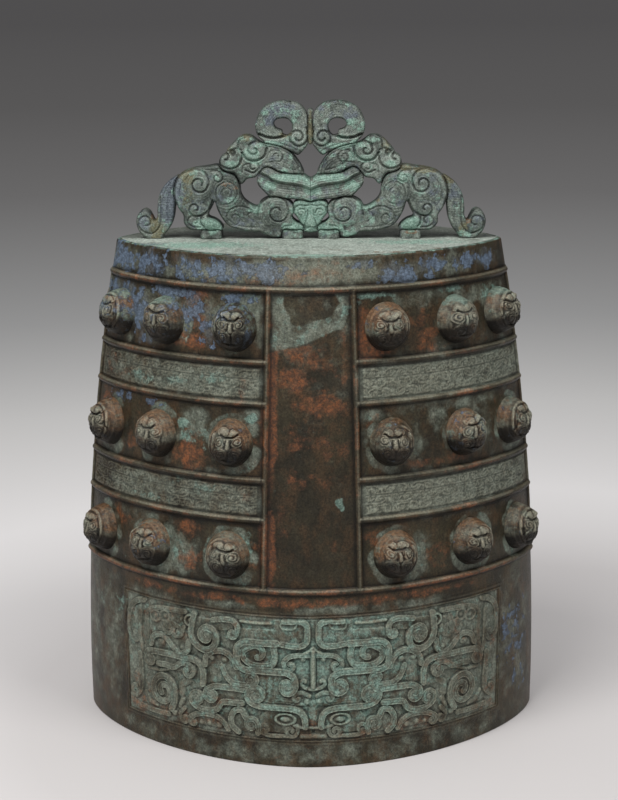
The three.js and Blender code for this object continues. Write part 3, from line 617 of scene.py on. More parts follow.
FRONT_RED = [
    [-118, 456, 20, 28, 0.62], [-120, 476, 16, 9, 0.7], [-146, 450, 14, 16, 0.6], [-126, 432, 24, 10, 0.95],
    [-62, 440, 8, 14, 0.3], [-250, 352, 26, 18, 0.7], [-160, 350, 26, 14, 0.8], [-126, 318, 22, 20, 0.8],
    [-192, 330, 12, 20, 0.6], [-58, 336, 9, 26, 0.6], [-205, 320, 16, 12, 0.55], [-228, 236, 20, 12, 0.55],
    [-130, 238, 24, 10, 0.6], [-126, 205, 16, 14, 0.6], [-54, 214, 8, 22, 0.35], [-35, 420, 7, 62, 1.3],
    [-38, 340, 9, 50, 1.2], [-40, 230, 9, 50, 1.1], [0, 418, 36, 24, 0.5], [-12, 400, 24, 16, 0.7],
    [14, 372, 30, 16, 0.66], [-10, 336, 26, 20, 0.4], [26, 330, 22, 20, 0.42], [0, 296, 34, 14, 0.3],
    [-24, 262, 14, 30, 0.36], [30, 240, 14, 16, 0.3], [56, 440, 12, 30, 0.85], [66, 424, 26, 9, 0.75],
    [126, 440, 22, 24, 0.42], [132, 424, 22, 8, 0.5], [72, 350, 10, 12, 0.45], [138, 306, 60, 7, 0.55],
    [68, 236, 14, 14, 0.45], [138, 210, 22, 18, 0.45], [200, 204, 26, 9, 0.4], [-14, 170, 130, 6, 0.62],
    [-170, 170, 60, 5, 0.4], [110, 171, 70, 5, 0.6], [-205, 66, 16, 16, 0.4], [5, 55, 12, 12, 0.35],
    [-60, 148, 30, 5, 0.4], [38, 404, 4, 80, 0.35], [70, 148, 22, 5, 0.35], [-92, 62, 18, 14, 0.35],
    [-96, 494, 26, 6, 0.5], [-30, 494, 34, 6, 0.5], [0, 503, 70, 12, 0.42], [-60, 386, 12, 16, 0.5],
    [-235, 392, 34, 16, 0.5], [-62, 272, 12, 16, 0.5], [-255, 275, 24, 16, 0.3], [226, 350, 16, 10, 0.3],
]
FRONT_GREEN = [
    [66, 480, 26, 4, 0.85], [50, 472, 6, 8, 0.5], [164, 480, 18, 5, 0.75], [222, 468, 20, 12, 0.6],
    [236, 450, 12, 14, 0.4], [33, 272, 5, 6, 1.2], [36, 267, 3, 4, 1.1], [-134, 346, 9, 8, 0.85],
    [-128, 334, 12, 9, 0.6], [-56, 357, 8, 6, 0.85], [62, 356, 8, 8, 0.4], [-188, 388, 26, 12, 0.42],
    [-96, 396, 26, 9, 0.5], [-142, 388, 22, 6, 0.5], [-108, 282, 30, 9, 0.42], [-176, 262, 34, 8, 0.45],
    [-150, 288, 20, 8, 0.4], [-62, 228, 8, 16, 0.5], [-146, 216, 16, 14, 0.5], [-110, 474, 6, 6, 0.3],
    [-198, 214, 14, 12, 0.35], [-108, 336, 6, 22, 0.42], [-276, 130, 20, 26, 0.25],
    [-226, 138, 22, 18, 0.35], [-130, 60, 26, 14, 0.3], [-52, 480, 18, 6, 0.5],
]
FRONT_PALE = [
    [-110, 393, 100, 22, 0.7], [-206, 393, 60, 20, 0.5], [150, 392, 150, 26, 1.15],
    [-100, 274, 84, 22, 0.55], [-200, 274, 60, 22, 0.5], [150, 274, 140, 24, 1.12],
    [-118, 348, 16, 16, 0.85], [-112, 300, 34, 7, 0.5], [-142, 208, 26, 26, 0.72], [-66, 232, 14, 16, 0.5],
    [-56, 356, 14, 14, 0.6], [142, 350, 14, 16, 0.62], [186, 362, 40, 7, 0.6], [66, 360, 24, 8, 0.62],
    [116, 322, 12, 26, 0.55], [206, 336, 12, 26, 0.55], [118, 214, 13, 26, 0.72], [60, 300, 20, 6, 0.3],
    [122, 474, 70, 12, 0.42], [200, 470, 50, 12, 0.5], [-52, 462, 14, 24, 0.72], [-70, 480, 30, 8, 0.6],
    [40, 163, 60, 6, 0.62], [110, 162, 46, 6, 0.55], [-80, 164, 40, 5, 0.42], [-180, 162, 40, 6, 0.42],
    [0, 504, 80, 16, 1.05], [-90, 500, 70, 12, 0.85], [150, 504, 90, 14, 0.5], [-240, 502, 50, 14, 0.8],
    [-240, 460, 50, 26, 0.6], [-90, 460, 30, 26, 0.5], [-170, 458, 60, 24, 0.6], [-290, 100, 40, 110, 0.44],
    [-246, 100, 30, 80, 0.5], [0, 14, 320, 18, 0.46], [250, 110, 40, 90, 0.38], [285, 60, 30, 80, 0.4],
    [-230, 245, 30, 12, 0.4], [-176, 240, 30, 10, 0.4], [60, 338, 6, 26, 0.4],
]
FRONT_RUBBED = [
    [0, 503, 90, 13, 0.42], [110, 392, 70, 20, 0.26], [110, 274, 70, 20, 0.2], [-160, 458, 60, 22, 0.12],
    [-10, 460, 40, 30, 0.1],
]
BACK_BLUE = [
    [120, 500, 60, 12, 0.7], [210, 466, 30, 18, 0.7], [-40, 506, 40, 8, 0.5], [180, 350, 24, 16, 0.5],
    [-230, 230, 24, 16, 0.4], [-150, 70, 30, 20, 0.3], [40, 320, 16, 20, 0.3],
]
BACK_RED = [
    [60, 450, 24, 20, 0.6], [-120, 430, 30, 10, 0.6], [0, 380, 24, 40, 0.5], [130, 330, 24, 14, 0.6],
    [-160, 350, 24, 12, 0.5], [-60, 220, 14, 24, 0.5], [160, 210, 22, 14, 0.5], [0, 169, 160, 6, 0.55],
    [20, 260, 26, 30, 0.3],
]
BACK_GREEN = [
    [-90, 478, 26, 6, 0.7], [20, 462, 14, 12, 0.6], [-200, 470, 18, 10, 0.5], [100, 350, 12, 12, 0.6],
    [-130, 210, 18, 16, 0.6], [200, 270, 30, 10, 0.5], [-20, 300, 8, 14, 0.6], [120, 130, 60, 30, 0.3],
]
BACK_PALE = [
    [120, 392, 130, 14, 0.65], [-150, 392, 120, 15, 0.6], [110, 274, 100, 14, 0.62],
    [-130, 274, 100, 14, 0.65], [0, 14, 300, 16, 0.6], [-40, 500, 120, 10, 0.45], [60, 212, 16, 20, 0.4],
    [0, 164, 120, 5, 0.45],
]
FRONT_PLACES = (FRONT_BLUE, FRONT_RED, FRONT_GREEN, FRONT_PALE)
BACK_PLACES = (BACK_BLUE, BACK_RED, BACK_GREEN, BACK_PALE)
# Places of the bosses: as a part of the way from the middle to the side, and as heights between two ribs
BOSS_PARTS = [0.283, 0.582, 0.838]
BOSS_HEIGHTS = [(RIBS[2 * i] + RIBS[2 * i + 1]) / 2 - 2 for i in range(3)]

# The bare tongue near the top of the plain panel and the pale bay round it
PANEL_BAY = [
    [-36, 486], [44, 486], [43, 462], [36, 448], [18, 442], [6, 438], [-10, 430], [-24, 428], [-35, 426],
]
PANEL_TONGUE = [
    [-22, 482], [28, 485], [34, 474], [24, 462], [8, 455], [-6, 451], [-13, 453], [-19, 462], [-24, 474],
]


def pale_bay(s, z):
    """Where the pale bay lies, without the bare tongue in it."""
    wavy = 3 * cloud(s, z, 14, 14) + 1.2 * cloud(s, z, 5, 15)
    bay = smooth(-3, 2, depth_inside(s, z, PANEL_BAY) + wavy)
    return bay * smooth(2.2, -1.2, depth_inside(s, z, PANEL_TONGUE) + 0.4 * wavy)


def boss_halos(s, z, length):
    """Pale broken rings on the wall, where earth stayed round the foot of each boss."""
    halo = np.zeros(s.shape)
    for row, height in enumerate(BOSS_HEIGHTS):
        for sign in (-1, 1):
            for place in BOSS_PARTS:
                middle = sign * place * length + ORNAMENT_SHIFT * (1 - place**4)
                off = np.hypot(s - middle - 2.2, (z - height + 2) * 0.94)
                angle = np.arctan2(z - height, s - middle)
                patchy = cloud(2.2 * np.cos(angle) + 9 * place * sign, 2.2 * np.sin(angle) + height, 1.0, 11)
                wide = 30.5 + 3 * patchy
                near = smooth(wide + 1.4, wide - 1.4, off)
                halo = np.maximum(halo, near * smooth(-0.6, 0.7, patchy + (0.3 if row else -0.25)))
    return halo


def rib_sides(s, z, part, length):
    """Where each point lies on a rib: on its upper side, which gets a painted highlight, and along its lower
    side, which gets painted shade.
    """
    on_rib, lit_upper_side, dirty_and_shaded = np.zeros(s.shape), np.zeros(s.shape), np.zeros(s.shape)
    for i, height in enumerate(RIBS):
        whole = i in (0, len(RIBS) - 1)
        clear = smooth(EDGE_PART, EDGE_PART - 0.01, part) * (1 if whole else (part > PANEL_PART))
        above = z - height
        on_rib = np.maximum(on_rib, smooth(4.2, 2.4, np.abs(above)) * clear)
        lit_upper_side = np.maximum(lit_upper_side, smooth(0.2, 1.2, above) * smooth(3.6, 2.4, above) * clear)
        dirty_and_shaded = np.maximum(dirty_and_shaded, smooth(-0.6, -1.8, above) * smooth(-6.5, -4, above) * clear)
    beside = np.abs((part - PANEL_PART) * length)
    upright = (z > RIBS[-1]) & (z < RIBS[0])
    on_rib = np.maximum(on_rib, smooth(3.6, 2.0, beside) * upright)
    lit_upper_side = np.maximum(lit_upper_side, 0.7 * smooth(1.4, 0.5, beside) * upright)
    dirty_and_shaded = np.maximum(dirty_and_shaded, smooth(2.0, 3.2, beside) * smooth(5.2, 4.2, beside) * upright)
    return on_rib, lit_upper_side, dirty_and_shaded


def wall_paint(s, z, relief, parts, front):
    """What lies on the wall at each point: corrosion, dirt and painted shade, and wear and painted
    highlights.
    """
    blue, red, green, pale = (spots(s, z, places) for places in (FRONT_PLACES if front else BACK_PLACES))
    part = np.broadcast_to(np.abs(parts), s.shape)
    length = np.abs(s).max(1, keepdims=True)

    # Dirt and painted shade in hollows, wear and painted highlight on ridges, finer in the narrow bands
    in_bands = np.zeros(s.shape)
    for low, high in NARROW_BANDS:
        in_bands = np.maximum(in_bands, ((z > low) & (z < high) & (part > PANEL_PART)).astype(float))
    hollow, ridge = hollows(relief, 4, 0.9)
    fine_hollow, fine_ridge = hollows(relief, 2, 0.3)
    hollow = lerp(hollow, 0.6 * fine_hollow, in_bands)
    ridge = lerp(ridge, 0.45 * fine_ridge, in_bands)
    pale = pale + 0.1 * in_bands
    red = red * (1 - 0.4 * in_bands)

    # Plain panel: a thin pale film at the top, darker lower down, and the bay with its tongue
    in_plain = smooth(PANEL_PART + 0.004, PANEL_PART - 0.004, part) * (z > RIBS[-1]) * (z < RIBS[0])
    pale = pale * (1 - in_plain) + 0.22 * in_plain * smooth(330, 430, z)
    hollow = np.maximum(hollow, 0.34 * in_plain * smooth(420, 270, z))
    if front and z.max() > 430:
        bay = pale_bay(s, z)
        pale = np.maximum(pale, 0.8 * bay * (0.85 + 0.35 * cloud(s, z, 12, 16)))
        green = np.maximum(green, 0.3 * bay)
        red = red * (1 - 0.9 * bay)

    halo = boss_halos(s, z, length)
    pale = np.maximum(pale, 0.66 * halo)
    green = np.maximum(green, 0.26 * halo)
    red = red * (1 - 0.8 * halo)

    # Beast panel: pale all over, greenest at its heart, with the broad bodies a little darker than the tapes
    outside = np.maximum(np.abs(s - PANEL_MIDDLE) - PANEL_SIDE, np.abs(z - PANEL_CENTRE) - PANEL_HALF - 1.5)
    in_panel = smooth(3, -4, outside)
    # Along the tapes: dirt and painted shade beside them, a painted highlight on their raised edges
    edge_hollow, edge_ridge = hollows(relief, 3, 1.0)
    hollow = lerp(hollow, edge_hollow, in_panel)
    ridge = lerp(ridge, edge_ridge, in_panel)
    body = in_panel * smooth(1.2, 1.6, relief) * smooth(3.0, 2.4, relief)
    heart = np.exp(-(((s - 10) / 120) ** 2)) * in_panel * smooth(24, 60, z)
    drift = cloud(s, z, 26, 17)
    panel_green = in_panel * (0.22 + 0.1 * drift) + 0.34 * heart + 0.16 * in_panel * ridge - 0.1 * body
    green = np.maximum(green, panel_green)
    pale = np.maximum(pale, in_panel * (0.78 + 0.2 * drift)) - 0.22 * body
    red = np.maximum(red, in_panel * (0.24 + 0.2 * cloud(s, z, 30, 18)) * (1 - heart))

    # Ribs: bare and reddish, the lowest one most, with a painted highlight along their upper sides and
    # painted shade along their lower sides
    on_rib, lit_upper_side, dirty_and_shaded = rib_sides(s, z, part, length)
    blue = blue * (1 - 0.85 * on_rib)
    green = green * (1 - 0.6 * on_rib)
    pale = pale * (1 - 0.6 * on_rib)
    lowest = smooth(3.5, 1.5, np.abs(z - RIBS[-1]))
    rib_red = on_rib * (0.26 + 0.28 * lowest + 0.4 * cloud(s, z * 0.2, 30, 19))
    streaky = 0.65 + 0.35 * cloud(s, z * 0.3, 22, 8)
    rubbed_and_lit = ridge * (1 - on_rib) * np.maximum(0.35 + 0.5 * in_panel, in_bands) + 0.85 * lit_upper_side * streaky
    if front:
        rubbed_and_lit = rubbed_and_lit + spots(s, z, FRONT_RUBBED)
    return {
        "azurite": blue - 0.7 * smooth(0.14, 0.0, blue),
        "cuprite": np.maximum(red * (1 - 0.5 * on_rib), rib_red),
        "malachite": green,
        "pale": pale,
        "hollow": np.clip(hollow * (1 - 0.5 * on_rib) + 0.75 * dirty_and_shaded, 0, 1),
        "ridge": rubbed_and_lit,
    }


# The pieces of a face: rows and columns lie close together at the ribs and over the beast panel
MIDDLE_FOOT, UPPER_FOOT = 177.0, 367.6
RIM_LIP, FOOT_INSET = 1.2, 0.15
UPPER_LENGTH, LOWER_LENGTH = 290, 325
SPLIT_PART = 0.016
UPRIGHT_PARTS = [-PANEL_PART, PANEL_PART, -EDGE_PART, EDGE_PART]
UPPER_PARTS = steps(-1, 1, 1.25 / UPPER_LENGTH, 0.62 / UPPER_LENGTH, UPRIGHT_PARTS, 0.014)
LOWER_LEFT_PARTS = steps(-1, SPLIT_PART, 2.0 / LOWER_LENGTH, 0.60 / LOWER_LENGTH, [SPLIT_PART], 0.70)
LOWER_RIGHT_PARTS = steps(SPLIT_PART, 1, 2.0 / LOWER_LENGTH, 0.60 / LOWER_LENGTH, [SPLIT_PART], 0.70)
LOWER_HEIGHTS = steps(RIM_LIP, MIDDLE_FOOT, 1.8, 0.62, [92], 66)
WALL_PIECES = {
    "upper": (steps(UPPER_FOOT, SHOULDER, 1.2, 0.55, RIBS[:3], 5), UPPER_PARTS),
    "middle": (steps(MIDDLE_FOOT, UPPER_FOOT, 1.25, 0.58, RIBS[2:], 5), UPPER_PARTS),
    "lower_left": (LOWER_HEIGHTS, LOWER_LEFT_PARTS),
    "lower_right": (LOWER_HEIGHTS, LOWER_RIGHT_PARTS),
}
ROUND = np.linspace(0, math.pi / 2, 5)[1:]
for which, (heights, parts) in WALL_PIECES.items():
    for side in ("front", "back"):
        points, along = face_grid(heights, parts)
        up = np.broadcast_to(heights[:, None], along.shape)
        relief = wall_relief(along, up, parts)
        paint = wall_paint(along, up, relief, parts, side == "front")
        points = points + outward(points) * (relief - FOOT_INSET * smooth(40, 10, up))[..., None]
        if which == "upper":
            for angle in ROUND:
                ring = face_grid([SHOULDER], parts, CROWN_ROUND * (1 - math.cos(angle)))[0]
                ring[..., 2] = SHOULDER + CROWN_ROUND * math.sin(angle)
                points = np.vstack([points, ring])
            paint = {key: np.vstack([value] + [value[-1:]] * len(ROUND)) for key, value in paint.items()}
            paint["malachite"][-3:] = np.maximum(paint["malachite"][-3:], 0.5)
        if which.startswith("lower"):
            for angle in ROUND:
                ring = face_grid([0.0], parts, FOOT_INSET + (RIM_LIP - FOOT_INSET) * (1 - math.cos(angle)))[0]
                ring[..., 2] = RIM_LIP * (1 - math.sin(angle))
                points = np.vstack([ring, points])
            paint = {key: np.vstack([value[:1]] * len(ROUND) + [value]) for key, value in paint.items()}
        if side == "back":
            points = points * [-1, -1, 1]
        rows, columns = points.shape[:2]
        wall = skin(f"wall_{side}_{which}", points, quads(rows, columns), paint, square_uv(rows, columns))
        wall.data.materials.append(wall_bronze)
        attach(wall, "root")
        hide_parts("bell_body")

# Crown plate: the flat top of the bell, of the same bronze and cast in one with the wall. It lies face
# up, so a pale chalky crust of tin oxide covers it in front of the handle, and behind the handle it is
# painted dark as the handle's shadow.


def crown_edge(parts, side):
    """The rounded front or back edge of the crown, from left to right."""
    row = face_grid([SHOULDER], parts if side < 0 else -parts, CROWN_ROUND)[0][0]
    return row[:, :2] * (1 if side < 0 else -1)


crown_parts = np.linspace(-1, 1, 330)
across = np.linspace(0, 1, 210)[:, None, None]
crown_plan = crown_edge(crown_parts, -1)[None] * (1 - across) + crown_edge(crown_parts, 1)[None] * across
crown_x, crown_y = crown_plan[..., 0], crown_plan[..., 1]
rows_of_hooks = band_relief(crown_x, np.abs(crown_y) + 20, 90, 58) * smooth(190, 170, np.abs(crown_x))
crown_relief = 0.22 * cloud(crown_x, crown_y, 22, 21) + 0.12 * cloud(crown_x, crown_y, 6, 22)
crown_relief = crown_relief + 0.35 * rows_of_hooks
from_edge = smooth(0, 0.03, np.minimum(across[..., 0], 1 - across[..., 0]))
from_edge = from_edge * smooth(1, 0.97, np.abs(crown_parts))
crown_points = np.dstack([crown_x, crown_y, BODY_HEIGHT + (crown_relief - 0.35) * from_edge])
# Crusts of the crown as [x, y, reach along x, reach along y, strength]
CROWN_GREEN = [
    [-110, -60, 70, 26, 0.5], [110, -40, 60, 20, 0.45], [0, -132, 60, 8, 0.5], [-30, 60, 90, 30, 0.5],
]
CROWN_RED = [[96, -112, 60, 6, 0.62], [150, -86, 34, 8, 0.6], [-40, 90, 50, 20, 0.4], [30, -96, 40, 8, 0.35]]
CROWN_BLUE = [[-165, -50, 30, 14, 0.5], [190, 10, 14, 20, 0.4]]
crown_hollow, crown_ridge = hollows(crown_relief, 3, 0.5)
# Painted shadow of the handle over the back half of the crown
handle_shadow = smooth(-12, 10, crown_y + 3 * cloud(crown_x, crown_y, 12, 24))
crown_paint = {
    "pale": 0.62 + 0.2 * cloud(crown_x, crown_y, 30, 23),
    "malachite": spots(crown_x, crown_y, CROWN_GREEN) + 0.18,
    "cuprite": spots(crown_x, crown_y, CROWN_RED),
    "azurite": spots(crown_x, crown_y, CROWN_BLUE),
    "hollow": np.maximum(crown_hollow, 0.85 * handle_shadow),
    "ridge": 0.5 * crown_ridge,
}
crown = skin("crown_plate", crown_points, quads(*crown_x.shape), crown_paint, square_uv(*crown_x.shape))
# To the eye a chalky grey-green sheet with mint and rust-brown stains and no shine
crown_bronze = weathered_bronze(
    "weathered bronze under pale tin oxide",
    ("#999f92", "#b0b7ab", "#bfc6ba", "#d0d8cc"),
    [
        ("pale", ("#acb6ab", "#ccd6ca"), 8, 0.25, 0.15, 1.5, 0.9),
        ("cuprite", ("#6e4a30", "#94694a"), 6, 0.12, 0.1, 2.0, 0.8),
        ("malachite", ("#84ad9b", "#aed0be"), 5, 0.16, 0.4, 2.0, 0.9),
        ("azurite", AZURITE, 5, 0.08, 0.6, 2.0, 0.8),
    ],
)
crown.data.materials.append(crown_bronze)
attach(crown, "root")
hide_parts("bell_body")

# Inside of the bell: the face that the clay core left on the bronze. It is plain and rough, dark with
# earth and thin green crust, and ends in the flat rim that the bell stands on.

WALL_THICK = 9.0
CEILING = 508.5
INNER_PARTS = np.linspace(-1, 1, 220)
inner_heights = np.linspace(0, CEILING, 150)
for side, turn in (("front", 1), ("back", -1)):
    inner, along = face_grid(inner_heights, INNER_PARTS, WALL_THICK)
    up = np.broadcast_to(inner_heights[:, None], along.shape)
    rough_core = 0.5 * cloud(along, up, 30, 31 + turn) + 0.25 * cloud(along, up, 9, 33)
    rough_core = rough_core * smooth(0, 14, up) * smooth(CEILING, CEILING - 14, up)
    rough_core = rough_core * smooth(1, 0.97, np.abs(INNER_PARTS))
    inner = inner + outward(inner) * rough_core[..., None]
    rim = face_grid([0.0], INNER_PARTS, RIM_LIP)[0]
    middle_line = inner[-1:] * [1, 0, 1]
    inner_points = np.vstack([rim, inner, middle_line]) * [turn, turn, 1]
    shape = inner_points.shape[:2]
    row_numbers = np.arange(shape[0])
    layers_of_earth = cloud(row_numbers, 0 * row_numbers, 20, 35)[:, None]
    inside_paint = {
        "pale": np.full(shape, 0.3),
        "malachite": 0.34 + 0.2 * np.broadcast_to(layers_of_earth, shape),
        "cuprite": np.full(shape, 0.3),
        "azurite": np.full(shape, 0.05),
        "hollow": np.full(shape, 0.25),
        "ridge": np.zeros(shape),
    }
    inside = skin(f"inside_{side}", inner_points, quads(*shape, flip=True), inside_paint, square_uv(*shape))
    inside.data.materials.append(wall_bronze)
    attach(inside, "root")
    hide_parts("bell_body")

# Bosses: eighteen on each face, in three rows of three on both sides of the plain panel. Each was cast in
# bronze before the wall and set into its mould. It is a rounded dome with the rings of a coiled body
# round its foot and a worn beast's face on top, which looks to the front.

BOSS_PROFILE = [
    [0, 23.0], [4.5, 22.8], [8.5, 22.0], [12, 20.6], [15, 18.5], [17.4, 16], [19.2, 13.2], [20.6, 10.2],
    [21.7, 7.4], [22.6, 4.6], [23.3, 1.8], [23.8, -1], [24.2, -6],
]
BOSS_TALL = 1.07
BOSS_SLIM = 0.992
BOSS_SINK = 0.3
BOSS_REACH = 246.1
BOSS_GRID = 125
# How far each column's faces are shifted towards the front
FACE_TURNS = [4.5, 3.0, 0.5]
# Lumps and lines of the face as plan positions in millimetres for one half; the other half mirrors it
FACE_DOMES = [
    (7.6, 3.4, 5.4, 4.8, 2.0), (5.0, 11.2, 5.2, 2.7, 1.5), (0, 0.2, 2.2, 4.6, 1.7),
    (6.8, -7.6, 6.6, 5.4, 1.7), (0, -16.4, 7.0, 2.2, 1.0), (14.2, 6.5, 2.2, 5.0, 0.9),
]
FACE_LINES = [
    (curve_through([[0.6, -6.2], [3, -2.6], [7, -1.6], [11.4, -3.2], [13.4, -7]]), 0.75, 0.8),
    (curl([[0.8, 12.6], [4, 14], [8.6, 13]], (7.4, 10.8), -0.8), 0.6, 0.6),
    (curve_through([[14.2, 9.5], [15.6, 4], [15.4, -2], [13.6, -9]]), 0.6, 0.6),
]
FACE_CUTS = [
    (curve_through([[0, 7.2], [2.6, 7.0], [4.8, 7.6], [6.8, 9.2]]), 1.0, -1.7),
    (curve_through([[0, -12.8], [4, -12.9], [8, -11.6]]), 0.85, -1.7),
    (curl([[3.2, 2.2], [5, 6.4], [9.6, 6.6]], (7.6, 3.4), -1.3, 0.3), 0.65, -0.9),
    (curl([[2.6, -8.0], [4.6, -4.6], [9.0, -4.8]], (6.8, -7.8), -1.0, 0.4), 0.6, -0.7),
    (curve_through([[0.1, -6.5], [0, -11.4]]), 0.6, -0.7),
    (curve_through([[2.2, 4.6], [2.0, 0.6], [3.4, -2.0]]), 0.65, -0.9),
    (curve_through([[12.6, 2], [12.9, -2.4], [13.8, -5]]), 0.6, -0.7),
]


def mound(x, y, middle_x, middle_y, half_wide, half_tall, high, power=0.7):
    """Height of one rounded lump."""
    inside_it = 1 - ((x - middle_x) / half_wide) ** 2 - ((y - middle_y) / half_tall) ** 2
    return high * np.clip(inside_it, 0, 1) ** power


def boss_relief(x, y, seed, hand, column):
    """Relief of the beast's face, and of the rings and fine lines of the coil that frames it. The face
    looks more to the front than the wall does, the more so near the middle; hand is -1 for a boss on the
    left."""
    draws = np.random.default_rng(seed).uniform(-1, 1, 8)
    shear_x, shift_y, ring_turn, coil_turn, shear_y, shift_x, foot_high, face_high = draws
    bent_x = x + FACE_TURNS[column] * hand + 0.08 * shear_x * y
    bent_x = bent_x + 1.3 * cloud(x + 50 * seed, y, 9, 43) + 0.5 * shift_x
    bent_y = y + 0.8 * shift_y + 0.08 * shear_y * x + 1.3 * cloud(x, y + 50 * seed, 9, 44)
    fold, low = np.abs(bent_x) / 1.16, bent_y / 1.14
    face = np.zeros(x.shape)
    for lump in FACE_DOMES:
        face = np.maximum(face, mound(fold, low, *lump, power=0.6))
    face = 1.15 * face + 1.2 * carved(fold, low, FACE_LINES) + 1.3 * carved(fold, low, FACE_CUTS)
    face = face - 0.6 * smooth(-2.6, -4.6, low) * smooth(-15, -9, low)
    radius, angle = np.hypot(x, y), np.arctan2(y, x)
    face = face * (0.8 + 0.12 * face_high + 0.5 * cloud(x - 40 * seed, y, 7, 46)) * smooth(19.5, 17, radius)
    side = np.maximum(hand * np.cos(angle - hand * math.radians(8 + 20 * ring_turn)), 0.35 * column)
    coil = 17.6 + 0.6 * np.sin(angle + coil_turn)
    ring = (bead(radius - coil, 0.9, 0.7) + bead(radius - coil + 1.7, 0.8, -0.6)) * smooth(0.2, 0.9, side)
    foot_ring = bead(radius - 21.2, 0.8, 0.4) * smooth(0.3, 0.9, side) * (0.6 + 0.4 * foot_high)
    combed = 0.07 * np.cos(2 * math.pi * (radius + 0.4 * np.sin(3 * angle)) / 1.7) * smooth(13, 16, radius)
    apart = x + 40 * seed
    worn_down = 0.12 * cloud(apart, y, 2.1, 41) + 0.2 * cloud(apart, y, 4.4, 45)
    worn_down = worn_down + 0.5 * cloud(apart, y, 10, 42)
    return face + ring + foot_ring + combed + worn_down


def evened(row):
    """A row of values softened over its neighbours."""
    return blurred(np.tile(row, (9, 1)), 4)[4]


def boss_seat(part, height):
    """Where a boss stands on the wall, and the directions level, up and out from there."""
    near_parts = np.array([part - 0.004, part, part + 0.004])
    patch = face_grid([height - 1, height, height + 1], near_parts)[0]
    axis = outward(patch)[1, 1]
    level = np.cross([0, 0, 1], axis)
    level /= np.linalg.norm(level)
    return patch[1, 1], level, np.cross(axis, level), axis


# Softer and darker than the wall to the eye: worn brown faces, with pale and rust-red crust between
boss_bronze = weathered_bronze(
    "pre-cast bronze under mixed crusts",
    ("#2b261d", "#453c2d", "#5f4d37", "#b5af98"),
    [
        ("pale", ("#62645a", "#94947f"), 9, 0.36, 0.12, 1.3, 0.85),
        ("cuprite", ("#5e422b", "#9c7049"), 9, 0.30, 0.1, 1.6, 0.78),
        ("malachite", ("#627c70", "#8fab9c"), 6, 0.24, 0.2, 1.6, 0.75),
        ("azurite", AZURITE, 6, 0.10, 0.4, 2.4, 0.75),
    ],
    grain=1.3,
)
ring_radius, ring_high = np.array(BOSS_PROFILE).T
ring_run = np.concatenate([[0], np.cumsum(np.hypot(np.diff(ring_radius), np.diff(ring_high)))])
grid_line = np.linspace(-1, 1, BOSS_GRID)
grid_u, grid_v = np.meshgrid(grid_line, grid_line)
bearing = np.arctan2(grid_v, grid_u)
along_profile = np.maximum(np.abs(grid_u), np.abs(grid_v)) * ring_run[-1]
plan_radius = np.interp(along_profile, ring_run, ring_radius)
plan_high = np.interp(along_profile, ring_run, ring_high)
even_run = np.linspace(0, ring_run[-1], 400)
climb = np.interp(along_profile, even_run, evened(np.gradient(np.interp(even_run, ring_run, ring_high))))
widen = np.interp(along_profile, even_run, evened(np.gradient(np.interp(even_run, ring_run, ring_radius))))
normal_out, normal_up = -climb / np.hypot(climb, widen), np.maximum(widen, 0) / np.hypot(climb, widen)
boss_x, boss_y = plan_radius * np.cos(bearing), plan_radius * np.sin(bearing)


def boss_paint(seed, relief, on_front, hand, row, column):
    """Crusts of one boss: pale on the face and red on the hood above it. Its lower side is darker, partly
    dark crust and partly painted shade, and only its upper side keeps painted highlights.
    """
    pale, red, green, hood_red, blue = np.random.default_rng(900 + seed).uniform(0, 1, 5)
    apart = 60 * seed
    hollow, ridge = hollows(relief, 3, 0.55)
    # The lower side: darker, partly dark crust and partly painted shade, with less pale crust and highlight
    low_side_crust_and_shade = smooth(1, -11, boss_y + 3 * cloud(boss_x + apart, boss_y, 10, 54)) * smooth(2, 9, plan_radius)
    drift = cloud(boss_x + apart, boss_y, 9, 51)
    hood = smooth(9, 17, plan_radius) * smooth(-6, 8, boss_y)
    all_red = 0.06 + 0.3 * red - 0.22 * drift + (0.5 * hood_red + (0.16 if row else 0)) * hood
    green_cap = 0.5 * smooth(12, 19, boss_y) if on_front and row == 0 and column > 0 else 0
    all_green = 0.12 + 0.18 * green + green_cap + 0.22 * cloud(boss_x - apart, boss_y, 7, 52)
    all_blue = 0.46 if on_front and row == 0 and hand < 0 else 0.08 + 0.2 * blue
    return {
        "pale": (0.38 + 0.3 * pale + 0.3 * drift) * (1 - 0.9 * low_side_crust_and_shade),
        "cuprite": all_red * (1 - 0.3 * low_side_crust_and_shade),
        "malachite": all_green * (1 - 0.7 * low_side_crust_and_shade) + 0.16 * ridge,
        "azurite": all_blue * (0.7 + 0.5 * cloud(boss_x, boss_y + apart, 12, 53)),
        "hollow": np.clip(1.3 * hollow + 1.1 * low_side_crust_and_shade, 0, 1),
        "ridge": ridge * (1 - 0.8 * low_side_crust_and_shade),
    }


